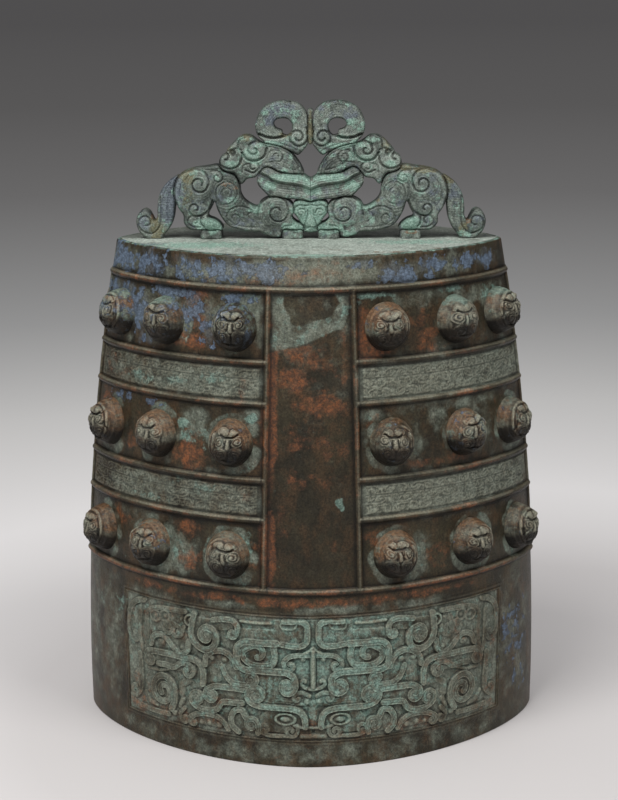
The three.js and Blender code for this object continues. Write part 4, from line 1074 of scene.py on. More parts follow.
boss_faces, boss_map = quads(BOSS_GRID, BOSS_GRID), square_uv(BOSS_GRID, BOSS_GRID)
for face_index, (side, turn) in enumerate((("front", 1), ("back", -1))):
    for row, height in enumerate(BOSS_HEIGHTS):
        for half, hand in (("left", -1), ("right", 1)):
            for column, part in enumerate(BOSS_PARTS):
                seed = 100 * face_index + 20 * row + 4 * column + (hand > 0)
                foot, level, upward, axis = boss_seat(hand * part, height)
                relief = boss_relief(boss_x, boss_y, seed, hand, column) * smooth(24.6, 23, plan_radius)
                local_r = BOSS_SLIM * plan_radius + normal_out * relief * smooth(10, 15, plan_radius)
                local_h = plan_high - BOSS_SINK + relief * np.where(plan_radius < 15, 1, normal_up)
                x, y = local_r * np.cos(bearing), BOSS_TALL * local_r * np.sin(bearing)
                points = foot + x[..., None] * level + y[..., None] * upward + local_h[..., None] * axis
                points[..., 0] = np.clip(points[..., 0], -BOSS_REACH, BOSS_REACH)
                paint = boss_paint(seed, relief, side == "front", hand, row, column)
                name = f"boss_{side}_{half}_{row + 1}_{column + 1}"
                boss = skin(name, points * [turn, turn, 1], boss_faces, paint, boss_map)
                boss.data.materials.append(boss_bronze)
                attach(boss, "root")
                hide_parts(f"boss_{side}_{half}_row{row + 1}_{column + 1}")

# Handle: two bronze beasts with their heads turned back hold up a pair of scrolls. Its parts were cast as
# flat openwork pieces with lines pressed into both faces, and were joined to each other and the crown. An
# outline runs [out from the middle, up from the crown], and the left half mirrors the right one.

HANDLE_SHIFT = 2.5
PLATE_STEP = 0.72
EDGE_ROUND = 2.7
FOOT_GAP, MIDDLE_GAP = 0.3, 0.15
RIM_ROWS = 5


def within(x, y, outline):
    """Distance from each point to a smooth closed outline, positive inside it."""
    return depth_inside(x, y, curve_through(outline, closed=True, dense=6), reach=1000)


def openwork(region, box, depth, relief, meets_middle, rounding):
    """Points, faces, dirt and painted shade, and wear and painted highlight of a plate that is cut out of a
    fine grid, u out from the middle and w up from the crown. Both of its faces carry the relief, and a
    rounded rim joins them, which gets painted shade. The box holds the least u and w and the greatest ones."""
    out_line = np.arange(box[0], box[2], PLATE_STEP)
    if meets_middle:
        out_line = MIDDLE_GAP + np.arange(0, box[2] - MIDDLE_GAP, PLATE_STEP)
    up_line = np.arange(max(box[1], FOOT_GAP), box[3], PLATE_STEP)
    u, w = np.meshgrid(out_line, up_line)

    # Grid points near the outline move onto it
    depth_in = region(u, w)
    snap = np.abs(depth_in) < 0.75 * PLATE_STEP
    slope_w, slope_u = np.gradient(depth_in, PLATE_STEP)
    steep = np.maximum(np.hypot(slope_u, slope_w), 0.3)
    move_u = np.where(snap, -depth_in * slope_u / steep**2, 0)
    move_w = np.where(snap, -depth_in * slope_w / steep**2, 0)
    if meets_middle:
        move_u[:, 0] = 0
    if box[1] <= FOOT_GAP:
        move_w[0] = 0
    u, w = u + np.clip(move_u, -0.5, 0.5), w + np.clip(move_w, -0.5, 0.5)
    depth_in = np.where(snap, 0, depth_in)
    good = depth_in >= 0
    cell = good[:-1, :-1] & good[:-1, 1:] & good[1:, 1:] & good[1:, :-1]
    used, flat = np.unique(quads(*u.shape)[cell.ravel()], return_inverse=True)
    sheet = flat.reshape(-1, 4)
    out, up, inward = u.ravel()[used], w.ravel()[used], np.maximum(depth_in.ravel()[used], 0)

    # Thickness at each point, with the fall of the rounded rim
    fall = rounding - np.sqrt(np.maximum(0, rounding**2 - (rounding - np.minimum(inward, rounding)) ** 2))
    lift = 0.72 * relief(u, w)
    hollow, ridge = hollows(lift, 3, 1.0)
    lift, hollow, ridge = lift.ravel()[used], hollow.ravel()[used], ridge.ravel()[used]
    face = depth / 2 - fall * (depth / 2 - 1) / (depth / 2) + lift * smooth(0, 1.6, inward)

    # The rim runs in a few rows from the front sheet to the back one
    edges = np.vstack([sheet[:, [0, 1]], sheet[:, [1, 2]], sheet[:, [2, 3]], sheet[:, [3, 0]]])
    _, first, count = np.unique(np.sort(edges, 1), axis=0, return_index=True, return_counts=True)
    rim = edges[first[count == 1]]
    rim_points, where = np.unique(rim, return_inverse=True)
    start, end = where.reshape(rim.shape).T
    total, around = len(out), len(rim_points)
    rings = [rim_points]
    points = [np.stack([out, -face, up], -1), np.stack([out, face, up], -1)]
    for step in range(1, RIM_ROWS):
        share = 1 - 2 * step / RIM_ROWS
        points.append(np.stack([out[rim_points], -face[rim_points] * share, up[rim_points]], -1))
        rings.append(2 * total + (step - 1) * around + np.arange(around))
    rings.append(rim_points + total)
    faces = [sheet, sheet[:, ::-1] + total]
    for lower, upper in zip(rings, rings[1:]):
        faces.append(np.stack([lower[end], lower[start], upper[start], upper[end]], -1))

    # The rounded rim and a band inside it get painted shade and lose the painted highlight
    shaded_rim = smooth(2.6, 0.2, inward)
    rim_shade = np.ones((RIM_ROWS - 1) * around)
    hollow = np.clip(0.75 * hollow + 0.55 * shaded_rim, 0, 1)
    ridge = ridge * (1 - shaded_rim)
    hollow = np.concatenate([hollow, hollow, 0.75 * rim_shade])
    ridge = np.concatenate([ridge, ridge, 0 * rim_shade])
    return np.vstack(points), np.vstack(faces), hollow, ridge


# Colour of the handle's crusts as [out, up, reach out, reach up, strength]; out is less than 0 on the left
HANDLE_MINT = [
    [24, 64, 22, 5, 1.0], [-24, 64, 22, 5, 1.0], [0, 24, 20, 18, 1.6], [44, 56, 10, 8, 0.8],
    [-44, 56, 10, 8, 0.7], [2, 52, 9, 8, 1.0], [-2, 56, 7, 6, 0.9], [14, 12, 14, 6, 1.0],
    [-14, 12, 14, 6, 1.0], [28, 10, 8, 6, 0.8], [-26, 12, 8, 6, 0.8], [105, 16, 12, 9, 1.0],
    [-103, 14, 12, 9, 1.0], [-116, 16, 10, 7, 0.8], [58, 36, 12, 7, 1.0], [-58, 32, 10, 10, 0.7],
    [97, 64, 8, 7, 0.9], [-99, 64, 6, 5, 0.6], [30, 97, 16, 4, 0.9], [48, 101, 8, 4, 0.8],
    [-40, 99, 18, 4, 0.8], [58, 84, 12, 5, 0.8], [-62, 88, 10, 8, 1.0], [-58, 82, 10, 5, 0.9],
    [-82, 78, 10, 6, 0.8], [84, 78, 10, 6, 0.7], [-72, 104, 8, 5, 0.6], [66, 104, 8, 5, 0.6],
    [-4, 64, 6, 6, 0.9], [6, 66, 6, 6, 0.8], [12, 92, 10, 16, 0.5], [34, 106, 8, 3, 0.8],
    [12, 34, 9, 12, 0.7], [-12, 34, 9, 12, 0.8], [80, 56, 8, 10, 0.4], [160, 4, 12, 5, 0.6],
    [-120, 70, 16, 4, 0.5], [-44, 62, 20, 6, 0.5], [40, 5, 12, 5, 0.7], [60, 20, 14, 12, 0.4],
    [-85, 40, 14, 16, 0.4], [-14, 126, 8, 14, 0.5], [40, 122, 6, 4, 0.9],
]
HANDLE_BLUE = [
    [-146, 50, 14, 24, 1.0], [-152, 30, 10, 20, 1.0], [-176, 16, 9, 10, 0.8], [-30, 134, 22, 10, 0.7],
    [-40, 126, 12, 12, 0.6], [42, 130, 10, 14, 0.6], [3, 40, 7, 6, 1.0], [152, 46, 10, 20, 0.55],
    [176, 18, 9, 10, 0.6], [88, 64, 12, 8, 0.5], [128, 50, 16, 16, 0.45], [-120, 34, 22, 10, 0.5],
    [-68, 16, 24, 8, 0.5], [38, 26, 14, 14, 0.5], [0, 20, 10, 8, 0.6], [40, 66, 10, 6, 0.5],
]
HANDLE_OCHRE = [
    [122, 72, 18, 4, 1.0], [-128, 66, 8, 10, 0.9], [-136, 68, 8, 6, 0.8], [146, 64, 10, 7, 0.9],
    [80, 100, 9, 10, 0.7], [-68, 106, 10, 5, 0.8], [-162, 8, 9, 12, 0.8], [160, 10, 8, 10, 0.6],
    [66, 44, 10, 8, 0.4], [-128, 44, 8, 24, 0.5], [-26, 108, 8, 4, 0.8], [-86, 92, 6, 10, 0.5],
    [0, 110, 4, 26, 0.8], [-165, 20, 5, 5, 1.0], [100, 74, 12, 4, 0.6],
]
HANDLE_RED = [
    [17.5, 22, 4, 6, 1.0], [-15.5, 22, 4, 6, 1.0], [-165, 24, 4, 4, 1.0], [-88, 58, 12, 4, 0.5],
    [-80, 54, 8, 4, 0.5], [166, 18, 4, 4, 0.7], [106, 7, 8, 3, 0.8], [-70, 78, 6, 4, 0.4],
    [-96, 10, 5, 4, 0.5],
]


def handle_paint(out, up, y):
    """The handle's crusts, in patches that shift a little between its front and back, with less pale
    and mint crust on the left beast's body.
    """
    patch = cloud(out + 3 * np.sign(y), up + 0.4 * y, 17, 61)
    left_body = np.exp(-(((out + 95) / 38) ** 2))
    return {
        "pale": 0.55 + 0.3 * patch - 0.2 * left_body,
        "malachite": np.maximum(
            spots(out, up, HANDLE_MINT), 0.24 - 0.1 * left_body + 0.26 * cloud(out, up + 0.3 * y, 9, 62)
        ),
        "azurite": np.maximum(spots(out, up, HANDLE_BLUE), 0.22 + 0.25 * cloud(out + 0.3 * y, up, 12, 63)),
        "ochre": spots(out, up, HANDLE_OCHRE) + 0.1 * patch,
        "cuprite": spots(out, up, HANDLE_RED),
    }


# To the eye a dull stony grey-green, brightest where the mint crust is thick, with ochre and blue tinges
handle_bronze = weathered_bronze(
    "grey-green corroded bronze with mint malachite",
    ("#4f5551", "#666e67", "#7a837a", "#b2c1b4"),
    [
        ("pale", ("#737b71", "#a2ada1"), 7, 0.26, 0.15, 1.8, 0.9),
        ("azurite", ("#4f596a", "#7a8492"), 7, 0.24, 0.12, 1.8, 0.8),
        ("ochre", ("#6f6a46", "#8c8560"), 6, 0.2, 0.12, 1.6, 0.85),
        ("cuprite", ("#7d5235", "#b08a68"), 3, 0.12, 0.1, 1.2, 0.85),
        ("malachite", ("#7ba391", "#b2d6c3"), 6, 0.2, 0.3, 2.0, 0.9),
    ],
    grain=1.5,
)
BOTH_HALVES = (("_right", 1), ("_left", -1))
ONE_PIECE = (("", 1),)


def plate(
    name, region, box, depth, relief, halves=BOTH_HALVES, meets_middle=False, rounding=EDGE_ROUND
):
    """Sets an openwork plate on the crown, on both sides of the middle or as one piece across it."""
    points, faces, hollow, ridge = openwork(region, box, depth, relief, meets_middle, rounding)
    for ending, sign in halves:
        placed = points * [sign, 1, 1] + [HANDLE_SHIFT, 0, BODY_HEIGHT]
        paint = handle_paint(placed[:, 0] - HANDLE_SHIFT, placed[:, 2] - BODY_HEIGHT, placed[:, 1])
        paint.update(hollow=hollow, ridge=ridge)
        piece = skin(name + ending, placed, faces if sign > 0 else faces[:, ::-1], paint)
        piece.data.materials.append(handle_bronze)
        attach(piece, "root")
        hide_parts(name + ending)


# Beasts: body, haunch, legs and paws of each animal, cast in bronze as one openwork plate. A coil on the
# haunch, a disc on the shoulder and fine stamped rings were pressed into its mould. It stands on four pads.

BEAST_DEPTH = 26.0
PAW = 8.5
BEAST = [
    [138.5, 66], [131.3, 71], [122.5, 73.6], [107.5, 75.8], [96.3, 77], [91.9, 71], [83.8, 68.3],
    [78.1, 64.5], [74.4, 56.4], [73.5, 47], [68.8, 39.5], [56.5, 33.3], [53.1, 38.3], [46.3, 42.6],
    [37.5, 44.1], [26.3, 42], [18.8, 35.8], [16.9, 29.5], [19.4, 22], [14.4, 17], [8.1, 14.5],
    [6.9, PAW], [28.8, PAW], [31.3, 2], [40, 1.4], [47.5, 3.9], [53.8, 7], [65, 7.4], [77.5, 10.1],
    [87.5, 14.5], [94.4, 23.3], [98.1, 30.8], [101, 38.9], [104, 32.6], [108.1, 23.3], [101.3, 20.1],
    [95.6, 15.8], [92.9, 11.6], [93.6, PAW], [116.9, PAW], [127.5, 9.8], [133.5, 16.4], [134, 24.5],
    [138.1, 30.8], [142, 38.9], [143.8, 49.5], [141.9, 58.9],
]
FORE_PAD = [[9, -1], [19, -1.2], [29, -1], [30, 4.1], [29, 8.2], [19, 8.2], [9, 8.2], [8, 4.1]]
HIND_PAD = [[out + 86, up] for out, up in FORE_PAD]
BEAST_DOMES = [
    (121.5, 55.5, 19, 19, 2.6), (116.6, 58, 9, 9, 1.2), (120.6, 32, 9.5, 9, 2.0), (39, 28.5, 17, 15.6, 2.6),
    (33.4, 26, 9.6, 9.6, 1.3), (104, 19, 11, 8.5, 2.4), (98, 64.5, 6, 6, 1.6),
]
BEAST_LINES = [
    (curve_through([[140.5, 36], [143, 50], [137, 66.5], [123, 73]]), 1.2, -1.6),
    (curl([[121.5, 73.8], [111, 70], [106.4, 60], [109.8, 51.4]], (117.2, 57.6), 0.95, 0.35), 1.25, -2.3),
    (curl([[103, 40.5], [107, 30.6], [113, 25.4], [121, 23.6]], (121.4, 31.6), 0.85, 0.3), 1.25, -2.2),
    (curl([[55.4, 25], [52, 38], [39, 44.4], [26.6, 39.6], [23, 28]], (35, 27.4), 0.9, 0.35), 1.2, -2.0),
    (curl([[96, 20.4], [103, 27.6], [112, 27]], (107, 19), -0.3, 0.9), 1.1, -1.8),
    (curl([[104.5, 70.8], [97, 71.4], [91.4, 66]], (97.6, 64.5), 0.85, 0.3), 1.0, -1.4),
    (curve_through([[92, 73.8], [107, 72.4], [121, 75]]), 0.9, -1.0),
    (curve_through([[90, 62], [79, 56], [77.4, 46], [83, 38], [93, 36], [99, 43], [98, 54],
        [90, 60]]), 0.9, -0.9),
    (curve_through([[88, 55], [82.6, 50], [83.4, 43.6], [90, 41.8], [94, 47], [91, 53.6]]), 0.9, -0.9),
    (curl([[62, 30], [72, 34], [84, 31], [89, 23]], (80, 21.4), -1.0, 0.3), 1.0, -1.1),
    (curve_through([[57, 12], [68, 12.4], [80, 15.4], [90, 23]]), 0.9, -0.9),
    (curve_through([[60, 18], [66, 25], [60, 29]]), 0.9, -0.9),
    (curl([[116, 12], [124, 12.6], [129.6, 17]], (122.8, 18.6), 0.7, 0.4), 1.0, -1.4),
    (curl([[20, 14], [28, 12.6], [31.6, 8]], (25, 8.6), -0.3, 0.8), 0.9, -1.2),
    (curve_through([[128, 66], [136, 56], [137, 44], [132, 34]]), 0.8, -0.7),
]


def stamped_rings(x, y, middle, pitch):
    """Fine concentric lines round a point, as pressed into the mould with a small stamp."""
    return np.cos(2 * math.pi * np.hypot(x - middle[0], y - middle[1]) / pitch)


def beast_relief(u, w):
    high = 0.18 * cloud(u, w, 5, 71)
    for lump in BEAST_DOMES:
        high = np.maximum(high, mound(u, w, *lump))
    shoulder = 0.3 * stamped_rings(u, w, (34, 27), 2.6) * (np.hypot(u - 39, w - 28) < 16)
    belly = 0.3 * stamped_rings(u, w, (88, 48), 3.2) * smooth(22, 18, np.hypot(u - 88, w - 46))
    haunch = 0.25 * stamped_rings(u, w, (117, 57), 2.6) * smooth(20, 17, np.hypot(u - 121, w - 55))
    return high + shoulder + belly + haunch + carved(u, w, BEAST_LINES)


def beast_region(u, w):
    return np.minimum(within(u, w, BEAST), -np.maximum(within(u, w, FORE_PAD), within(u, w, HIND_PAD)))


plate("beast", beast_region, (6, 0, 146, 80), BEAST_DEPTH, beast_relief)

# Paw pads: lumps of bronze run in under the paws, which fix the beasts to the crown. They are rough and
# thick with bright malachite.

PAD_DEPTH, PAD_ROUND = 30.0, 1.6


def lumpy(u, w):
    return 0.7 * cloud(u, w, 6, 72) + 0.35 * cloud(u, w, 2.6, 73) + 0.3


def fore_pad_region(u, w):
    return within(u, w, FORE_PAD)


def hind_pad_region(u, w):
    return within(u, w, HIND_PAD)


plate("fore_paw_pad", fore_pad_region, (7, 0, 32, 10), PAD_DEPTH, lumpy, rounding=PAD_ROUND)
plate("hind_paw_pad", hind_pad_region, (93, 0, 118, 10), PAD_DEPTH, lumpy, rounding=PAD_ROUND)

# Tails: a bronze strap that drops from each haunch and curls up on the crown. It was cast apart and
# joined to the haunch, and lines pressed into it follow its curl.

TAIL_DEPTH = 20.0
TAIL = [
    [139, 66], [145.6, 62.9], [154, 55.5], [159.8, 44.5], [161.6, 32], [161.9, 23], [164.8, 18.9],
    [167.5, 23.5], [170.5, 28.6], [175, 30.8], [180.6, 27.6], [184.4, 18.3], [181.9, 8.3], [176, 1.5],
    [171, -1.5], [159, -1.5], [154.8, 3.9], [148.8, 11.4], [144.8, 20.8], [143, 32], [142.2, 42], [141, 55],
]
TAIL_LINES = [
    (curl([[158, 44], [158, 26], [160, 12], [168, 5], [177, 7.6]], (173.6, 17), 0.95, 0.3), 1.1, -1.7),
    (curve_through([[146, 60], [153, 50], [156.4, 36], [156, 22]]), 0.8, -0.7),
    (curve_through([[143.6, 58], [149, 46], [151, 32], [150.6, 18]]), 0.8, -0.7),
]


def tail_relief(u, w):
    curled_end = mound(u, w, 174, 17, 10, 12, 1.6)
    cross_lines = 0.16 * np.cos(w * 2 * math.pi / 2.6) * smooth(168, 160, u)
    return curled_end + cross_lines + carved(u, w, TAIL_LINES) + 0.2 * cloud(u, w, 5, 74)


def tail_region(u, w):
    return np.minimum(within(u, w, TAIL), -within(u, w, BEAST))


plate("tail", tail_region, (138, 0, 188, 70), TAIL_DEPTH, tail_relief)

# Neck bands: a thick folded bronze strap on each side, cast with the necks. Its upper face is turned to
# the sky and pale, a groove runs beneath, and the two straps meet in the middle.

BAND_DEPTH = 28.0
BAND = [
    [-4, 62.5], [0, 62.6], [3.8, 64.5], [7.5, 67], [21.3, 67.6], [33.1, 69.5], [41.9, 73.9],
    [47.5, 74.3], [51.9, 70.8], [56, 63.3], [54.8, 56.4], [50, 50.8], [43.8, 44.8], [37.5, 43],
    [26.3, 42], [12.5, 41], [3.8, 39.5], [0, 38.5], [-4, 38.3],
]
BAND_CREASE = curve_through([[-2, 53.4], [8, 57.5], [18, 59.4], [28, 60.6], [37, 63], [46, 68.5], [60, 74]])


def band_shape(u, w):
    above = w - np.interp(u, *BAND_CREASE.T)
    upper_face = 2.2 * smooth(9.5, 0, above)
    under_side = 2.2 - 4.4 * smooth(0, -3.4, above) + 2.4 * smooth(-7, -13, above)
    lines = 0.42 * np.cos(above * 2 * math.pi / 2.4)
    return np.where(above > 0, upper_face, under_side) + lines + 0.15 * cloud(u, w, 5, 75)


def band_region(u, w):
    return np.minimum(within(u, w, BAND), -within(u, w, BEAST))


plate("neck_band", band_region, (0, 36, 60, 78), BAND_DEPTH, band_shape, meets_middle=True)

# Heads: each beast looks back over its body, with a rolled snout, a comma-shaped ear and an arched neck. Each
# is a bronze openwork plate with deep lines, cast apart and joined to the shoulder and the neck band.

HEAD_DEPTH = 26.0
HEAD = [
    [94.4, 74.5], [95.6, 79.5], [93.8, 85.8], [88.8, 89.5], [86.9, 93.3], [81.9, 98.9], [76.9, 103.9],
    [70, 108], [62.5, 107.6], [56.3, 103.3], [50.6, 100.1], [40, 98], [30, 95.1], [20, 89.5],
    [13.1, 81.4], [9, 74.5], [7.1, 68], [15, 67.4], [32.5, 69.9], [41.3, 74.5], [47.5, 74.8],
    [51, 71.4], [54.4, 67.6], [57.5, 64.5], [66.3, 62.6], [69.4, 59.3], [72.5, 57.3], [76.3, 63.3],
    [80, 68.9], [86.3, 69.8],
]
HEAD_DOMES = [
    (58, 90.5, 12.5, 9.4, 2.2), (85, 80, 10.4, 8.4, 2.4), (81, 97.4, 5.4, 4.6, 2.2),
    (59, 75.5, 6.2, 5.8, 2.0), (66, 104, 9, 5, 1.6), (35.5, 85.5, 6, 5.4, 0.9),
]
HEAD_LINES = [
    (curve_through([[45.4, 95], [48, 87], [56.4, 82], [66, 83.4], [71.5, 90]]), 1.5, -2.8),
    (curl([[46, 97.4], [54, 102], [62.6, 99.4], [65, 93]], (58.6, 93), -0.7, 0.3), 1.3, -2.2),
    (curl([[71, 87], [74.6, 77.6], [84, 73.6], [94, 77.6], [96, 86]], (89.4, 85.5), 0.7, 0.4), 1.35, -2.6),
    (curl([[80.8, 87.6], [83.6, 90.6]], (81, 90.4), 0.8, 0.5), 1.6, -2.6),
    (curl([[68, 72], [60, 69.4], [53.6, 74]], (59.4, 75.6), -0.9, 0.35), 1.1, -2.0),
    (curl([[46, 84], [42, 91.6], [34, 92.6], [28.6, 87.4]], (35.2, 85.8), 1.0, 0.3), 1.0, -1.2),
    (curve_through([[12, 75], [16, 83], [24, 90.4], [35, 95], [46, 97]]), 0.9, -1.4),
    (curve_through([[16, 72], [26, 74.6], [38, 80], [46, 80]]), 0.9, -1.0),
    (curve_through([[75, 96], [74, 103], [68, 106]]), 1.0, -1.5),
    (curve_through([[72, 93], [78, 94.6], [86, 91.8]]), 1.0, -1.6),
    (curve_through([[62, 79.6], [70, 76.6], [71.4, 70]]), 1.0, -1.2),
]
HEAD_RIDGES = [
    (curve_through([[10, 73], [14.6, 84], [24, 92.4], [36, 97], [50, 100.4]]), 1.7, 1.5),
    (curve_through([[48, 85], [56, 79.8], [66, 81], [74, 90]]), 1.2, 0.9),
    (curve_through([[76.5, 90], [78.6, 101]]), 1.6, 1.0),
]


def head_relief(u, w):
    high = 0.15 * cloud(u, w, 4, 76)
    for lump in HEAD_DOMES:
        high = np.maximum(high, mound(u, w, *lump))
    high = np.maximum(high, carved(u, w, HEAD_RIDGES))
    neck_rings = 0.28 * stamped_rings(u, w, (35, 62), 2.6) * smooth(46, 40, u)
    return high + neck_rings + carved(u, w, HEAD_LINES)


def head_region(u, w):
    return np.minimum(within(u, w, HEAD), -np.maximum(within(u, w, BEAST), within(u, w, BAND)))


plate("head", head_region, (6, 55, 98, 110), HEAD_DEPTH, head_relief)

# Crests: the two large bronze scrolls at the top, each cast with a round eye through it and joined to a
# head. A rope or hook goes round them and under the heads.

CREST_DEPTH = 22.0
CREST = [
    [49.4, 102], [54.4, 107], [57.1, 114.5], [56.9, 122], [51.9, 133.3], [42.5, 140.6], [28.8, 143.5],
    [13.8, 141.2], [6.3, 135.2], [2.8, 127.5], [2.3, 119.5], [2.6, 108.3], [2.3, 99.5], [6.9, 92.6],
    [12.8, 87.4], [20, 90.8], [31.3, 95.8], [47.5, 99.6],
]
CREST_EYE = [
    [38.1, 119.5], [35, 123.9], [28.8, 125.4], [22.5, 123.9], [19, 118.9], [20, 112], [23.8, 107.6],
    [28.8, 108.9], [29.8, 112.6], [35.6, 115.1],
]
CREST_LINES = [
    (curve_through([[26.8, 107.6], [34, 105.6], [44, 105.8], [53, 109]]), 1.7, -5.0),
    (curl([[3.6, 116], [2.4, 106], [6.4, 99], [13.6, 97], [20.6, 101.6]],
        (12.8, 106), 1.0, 0.3), 1.3, -2.4),
    (curve_through([[12, 92], [22, 96.4], [34, 100.4], [46, 102.6]]), 0.8, -0.9),
]


def crest_relief(u, w):
    rings = 0.26 * stamped_rings(u, w, (29, 118), 2.5) * smooth(104, 108, w)
    curled_end = mound(u, w, 12.6, 106.4, 10.5, 10, 2.0)
    return rings + curled_end + carved(u, w, CREST_LINES) + 0.15 * cloud(u, w, 5, 77)


def crest_region(u, w):
    return np.minimum(within(u, w, CREST), -np.maximum(within(u, w, HEAD), within(u, w, CREST_EYE)))


plate("crest_scroll", crest_region, (1, 84, 60, 146), CREST_DEPTH, crest_relief, meets_middle=True)

# Mask and bridge: a small beast's face where the two bodies meet, and the thin web of bronze that was
# left between the two scrolls when the handle was joined.

MASK_DEPTH = 30.0
BRIDGE_DEPTH, BRIDGE_ROUND = 22.0, 0.8
MASK = [
    [0, 38], [10, 40], [17, 38], [18.5, 33], [17.5, 27], [13, 21], [9, 14], [7, 8], [0, 6.5], [-7, 8],
    [-9, 14], [-13, 21], [-17.5, 27], [-18.5, 33], [-17, 38], [-10, 40],
]
BRIDGE = [[-1.6, 99], [1.6, 99], [1.9, 128], [3, 133], [0, 135], [-3, 133], [-1.9, 128]]
MASK_LINES = [
    (curve_through([[0, 36], [6, 34.6], [12, 35.4], [16, 33]]), 1.0, -1.4),
    (curl([[5, 27.4], [6.6, 31], [11, 31.2]], (10, 27.4), -0.9, 0.3), 0.9, -1.5),
    (curve_through([[3, 30], [3.4, 22], [6, 16], [5, 10]]), 0.9, -1.3),
    (curve_through([[0, 12.6], [4, 12], [7.4, 14]]), 0.9, -1.3),
]


def mask_relief(u, w):
    fold = np.abs(u)
    high = np.maximum(mound(fold, w, 10, 27.4, 4.6, 4, 1.6), mound(fold, w, 0, 18, 5, 9, 2.2))
    return high + carved(fold, w, MASK_LINES) + 0.35 * cloud(u, w, 4, 78)


def mask_region(u, w):
    fold = np.abs(u)
    others = np.maximum(np.maximum(within(fold, w, BEAST), within(fold, w, BAND)), within(fold, w, FORE_PAD))
    return np.minimum(within(u, w, MASK), -others)


def bridge_region(u, w):
    return np.minimum(within(u, w, BRIDGE), -within(np.abs(u), w, CREST))


plate("mask", mask_region, (-20, 4, 20, 42), MASK_DEPTH, mask_relief, ONE_PIECE)
plate("crest_bridge", bridge_region, (-5, 97, 5, 137), BRIDGE_DEPTH, lumpy,
      ONE_PIECE, rounding=BRIDGE_ROUND)

# Studio: one seamless floor of matt paper whose colour is painted light that fades out behind the bell, a
# large soft lamp high on the left, a weaker one on the right, and the camera of the photograph.

FLOOR_HALF = 160000.0
FLOOR_CORNERS = [
    [-FLOOR_HALF, -FLOOR_HALF, 0],
    [FLOOR_HALF, -FLOOR_HALF, 0],
    [FLOOR_HALF, FLOOR_HALF, 0],
    [-FLOOR_HALF, FLOOR_HALF, 0],
]
floor = skin("floor", FLOOR_CORNERS, [[0, 1, 2, 3]], {})
# The point that the paper's painted light is measured from, in metres, and its tone from near to far:
# painted shade a little darker round the bell, painted light brightest about a metre away and dark far
# off. The distances are powers of two, so the nearest tone lies a quarter of a metre away and the
# farthest one 32 metres.
PAPER_LIGHT_MIDDLE = (0.18, 0, 0)
PAPER_NEAR, PAPER_FAR = -2.0, 5.0
PAPER_PAINTED_LIGHT = [
    (0.0, "#c3bfbd"), (0.14, "#c3bfbd"), (0.26, "#d9d6d4"), (0.37, "#c9c7c4"), (0.47, "#a9a8a6"),
    (0.62, "#868482"), (0.76, "#757371"), (1.0, "#6b6968"),
]
# Uncoated paper: no sheen at all, so the eye sees only the painted fall from light to dark in its colour
paper = bpy.data.materials.new("matt paper painted with light that falls off into the dark")
paper.use_nodes = True
paper_tree = paper.node_tree
paper_tree.nodes.clear()
paper_place = node(paper_tree, "TexCoord", output="Object")
paper_far = node(paper_tree, "VectorMath", {0: paper_place, 1: PAPER_LIGHT_MIDDLE}, "Value", operation="DISTANCE")
paper_log = node(paper_tree, "Math", {0: paper_far, 1: 2.0}, operation="LOGARITHM")
paper_range = {"Value": paper_log, "From Min": PAPER_NEAR, "From Max": PAPER_FAR}
paper_share = node(paper_tree, "MapRange", paper_range)
paper_light_tone = node(paper_tree, "ValToRGB", {"Fac": paper_share})
ramp = paper_light_tone.node.color_ramp
while len(ramp.elements) < len(PAPER_PAINTED_LIGHT):
    ramp.elements.new(0.5)
for element, (place, code) in zip(ramp.elements, PAPER_PAINTED_LIGHT):
    element.position, element.color = place, linear(code)
node(paper_tree, "OutputMaterial", {"Surface": node(paper_tree, "BsdfDiffuse", {"Color": paper_light_tone})})
floor.data.materials.append(paper)

world = bpy.data.worlds.new("studio")
bpy.context.scene.world = world
world.use_nodes = True
sky = world.node_tree
sky.nodes.clear()
# The camera and shiny bronze see the dark end of the paper, and the bell gets the studio's plain light
rays = node(sky, "LightPath").node.outputs
seen = node(sky, "Math", {0: rays["Is Camera Ray"], 1: rays["Is Glossy Ray"]}, operation="MAXIMUM")
seen = node(sky, "Math", {0: seen, 1: rays["Is Transmission Ray"]}, operation="MAXIMUM")
plain_light, dark_paper = linear("#c2c3c6"), linear("#504f4f")
sky_colour = node(sky, "Mix", {0: seen, 6: plain_light, 7: dark_paper}, 2, data_type="RGBA")
sky_light = node(sky, "Background", {"Color": sky_colour, "Strength": 1.0})
node(sky, "OutputWorld", {"Surface": sky_light})


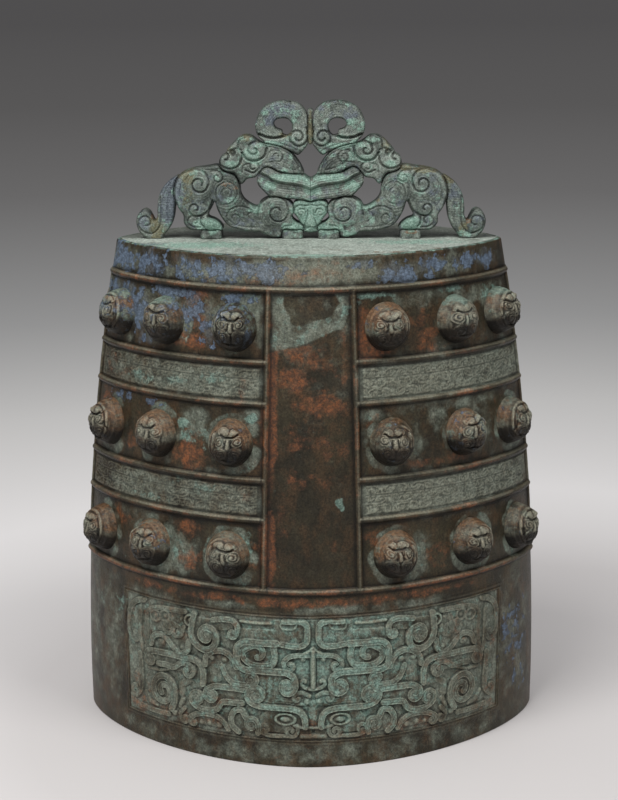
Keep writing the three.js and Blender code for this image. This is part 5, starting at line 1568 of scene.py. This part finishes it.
def standing(right, up, back, place):
    """Matrix of a lamp or camera from its three axes and its place in metres."""
    return Matrix([[right[i], up[i], back[i], place[i]] for i in range(3)] + [[0, 0, 0, 1]])


BELL_MIDDLE = np.array([0, 0, 0.32])


def soft_lamp(name, place, size, power):
    """A square lamp that points at the middle of the bell."""
    data = bpy.data.lights.new(name, "AREA")
    data.shape, data.size, data.energy = "SQUARE", size, power
    lamp = bpy.data.objects.new(name, data)
    bpy.context.scene.collection.objects.link(lamp)
    away = np.array(place) - BELL_MIDDLE
    away /= np.linalg.norm(away)
    across = np.cross([0, 0, 1], away)
    across /= np.linalg.norm(across)
    lamp.matrix_world = standing(across, np.cross(away, across), away, place)


soft_lamp("key", (-0.75, -1.15, 2.3), 1.2, 45)
soft_lamp("second", (1.15, -1.0, 2.2), 1.0, 21)

# Turn, pitch and roll in radians, as fitted to points of the photograph
CAMERA_TURN, CAMERA_PITCH, CAMERA_ROLL = 0.02168, 0.22375, -0.005469
CAMERA_PLACE = (0.04129, -1.9247, 0.787)
turn_cos, turn_sin = math.cos(CAMERA_TURN), math.sin(CAMERA_TURN)
pitch_cos, pitch_sin = math.cos(CAMERA_PITCH), math.sin(CAMERA_PITCH)
level_right = np.array([turn_cos, turn_sin, 0])
level_up = np.array([-turn_sin * pitch_sin, turn_cos * pitch_sin, pitch_cos])
back_axis = -np.array([-turn_sin * pitch_cos, turn_cos * pitch_cos, -pitch_sin])
rolled_right = math.cos(CAMERA_ROLL) * level_right + math.sin(CAMERA_ROLL) * level_up
rolled_up = -math.sin(CAMERA_ROLL) * level_right + math.cos(CAMERA_ROLL) * level_up
lens = bpy.data.cameras.new("camera")
lens.lens = 82.14
lens.sensor_width = 36
lens.sensor_fit = "AUTO"
lens.shift_y = -0.0068
camera = bpy.data.objects.new("camera", lens)
bpy.context.scene.collection.objects.link(camera)
camera.matrix_world = standing(rolled_right, rolled_up, back_axis, CAMERA_PLACE)
bpy.context.scene.camera = camera
bpy.context.scene.view_settings.view_transform = "Standard"
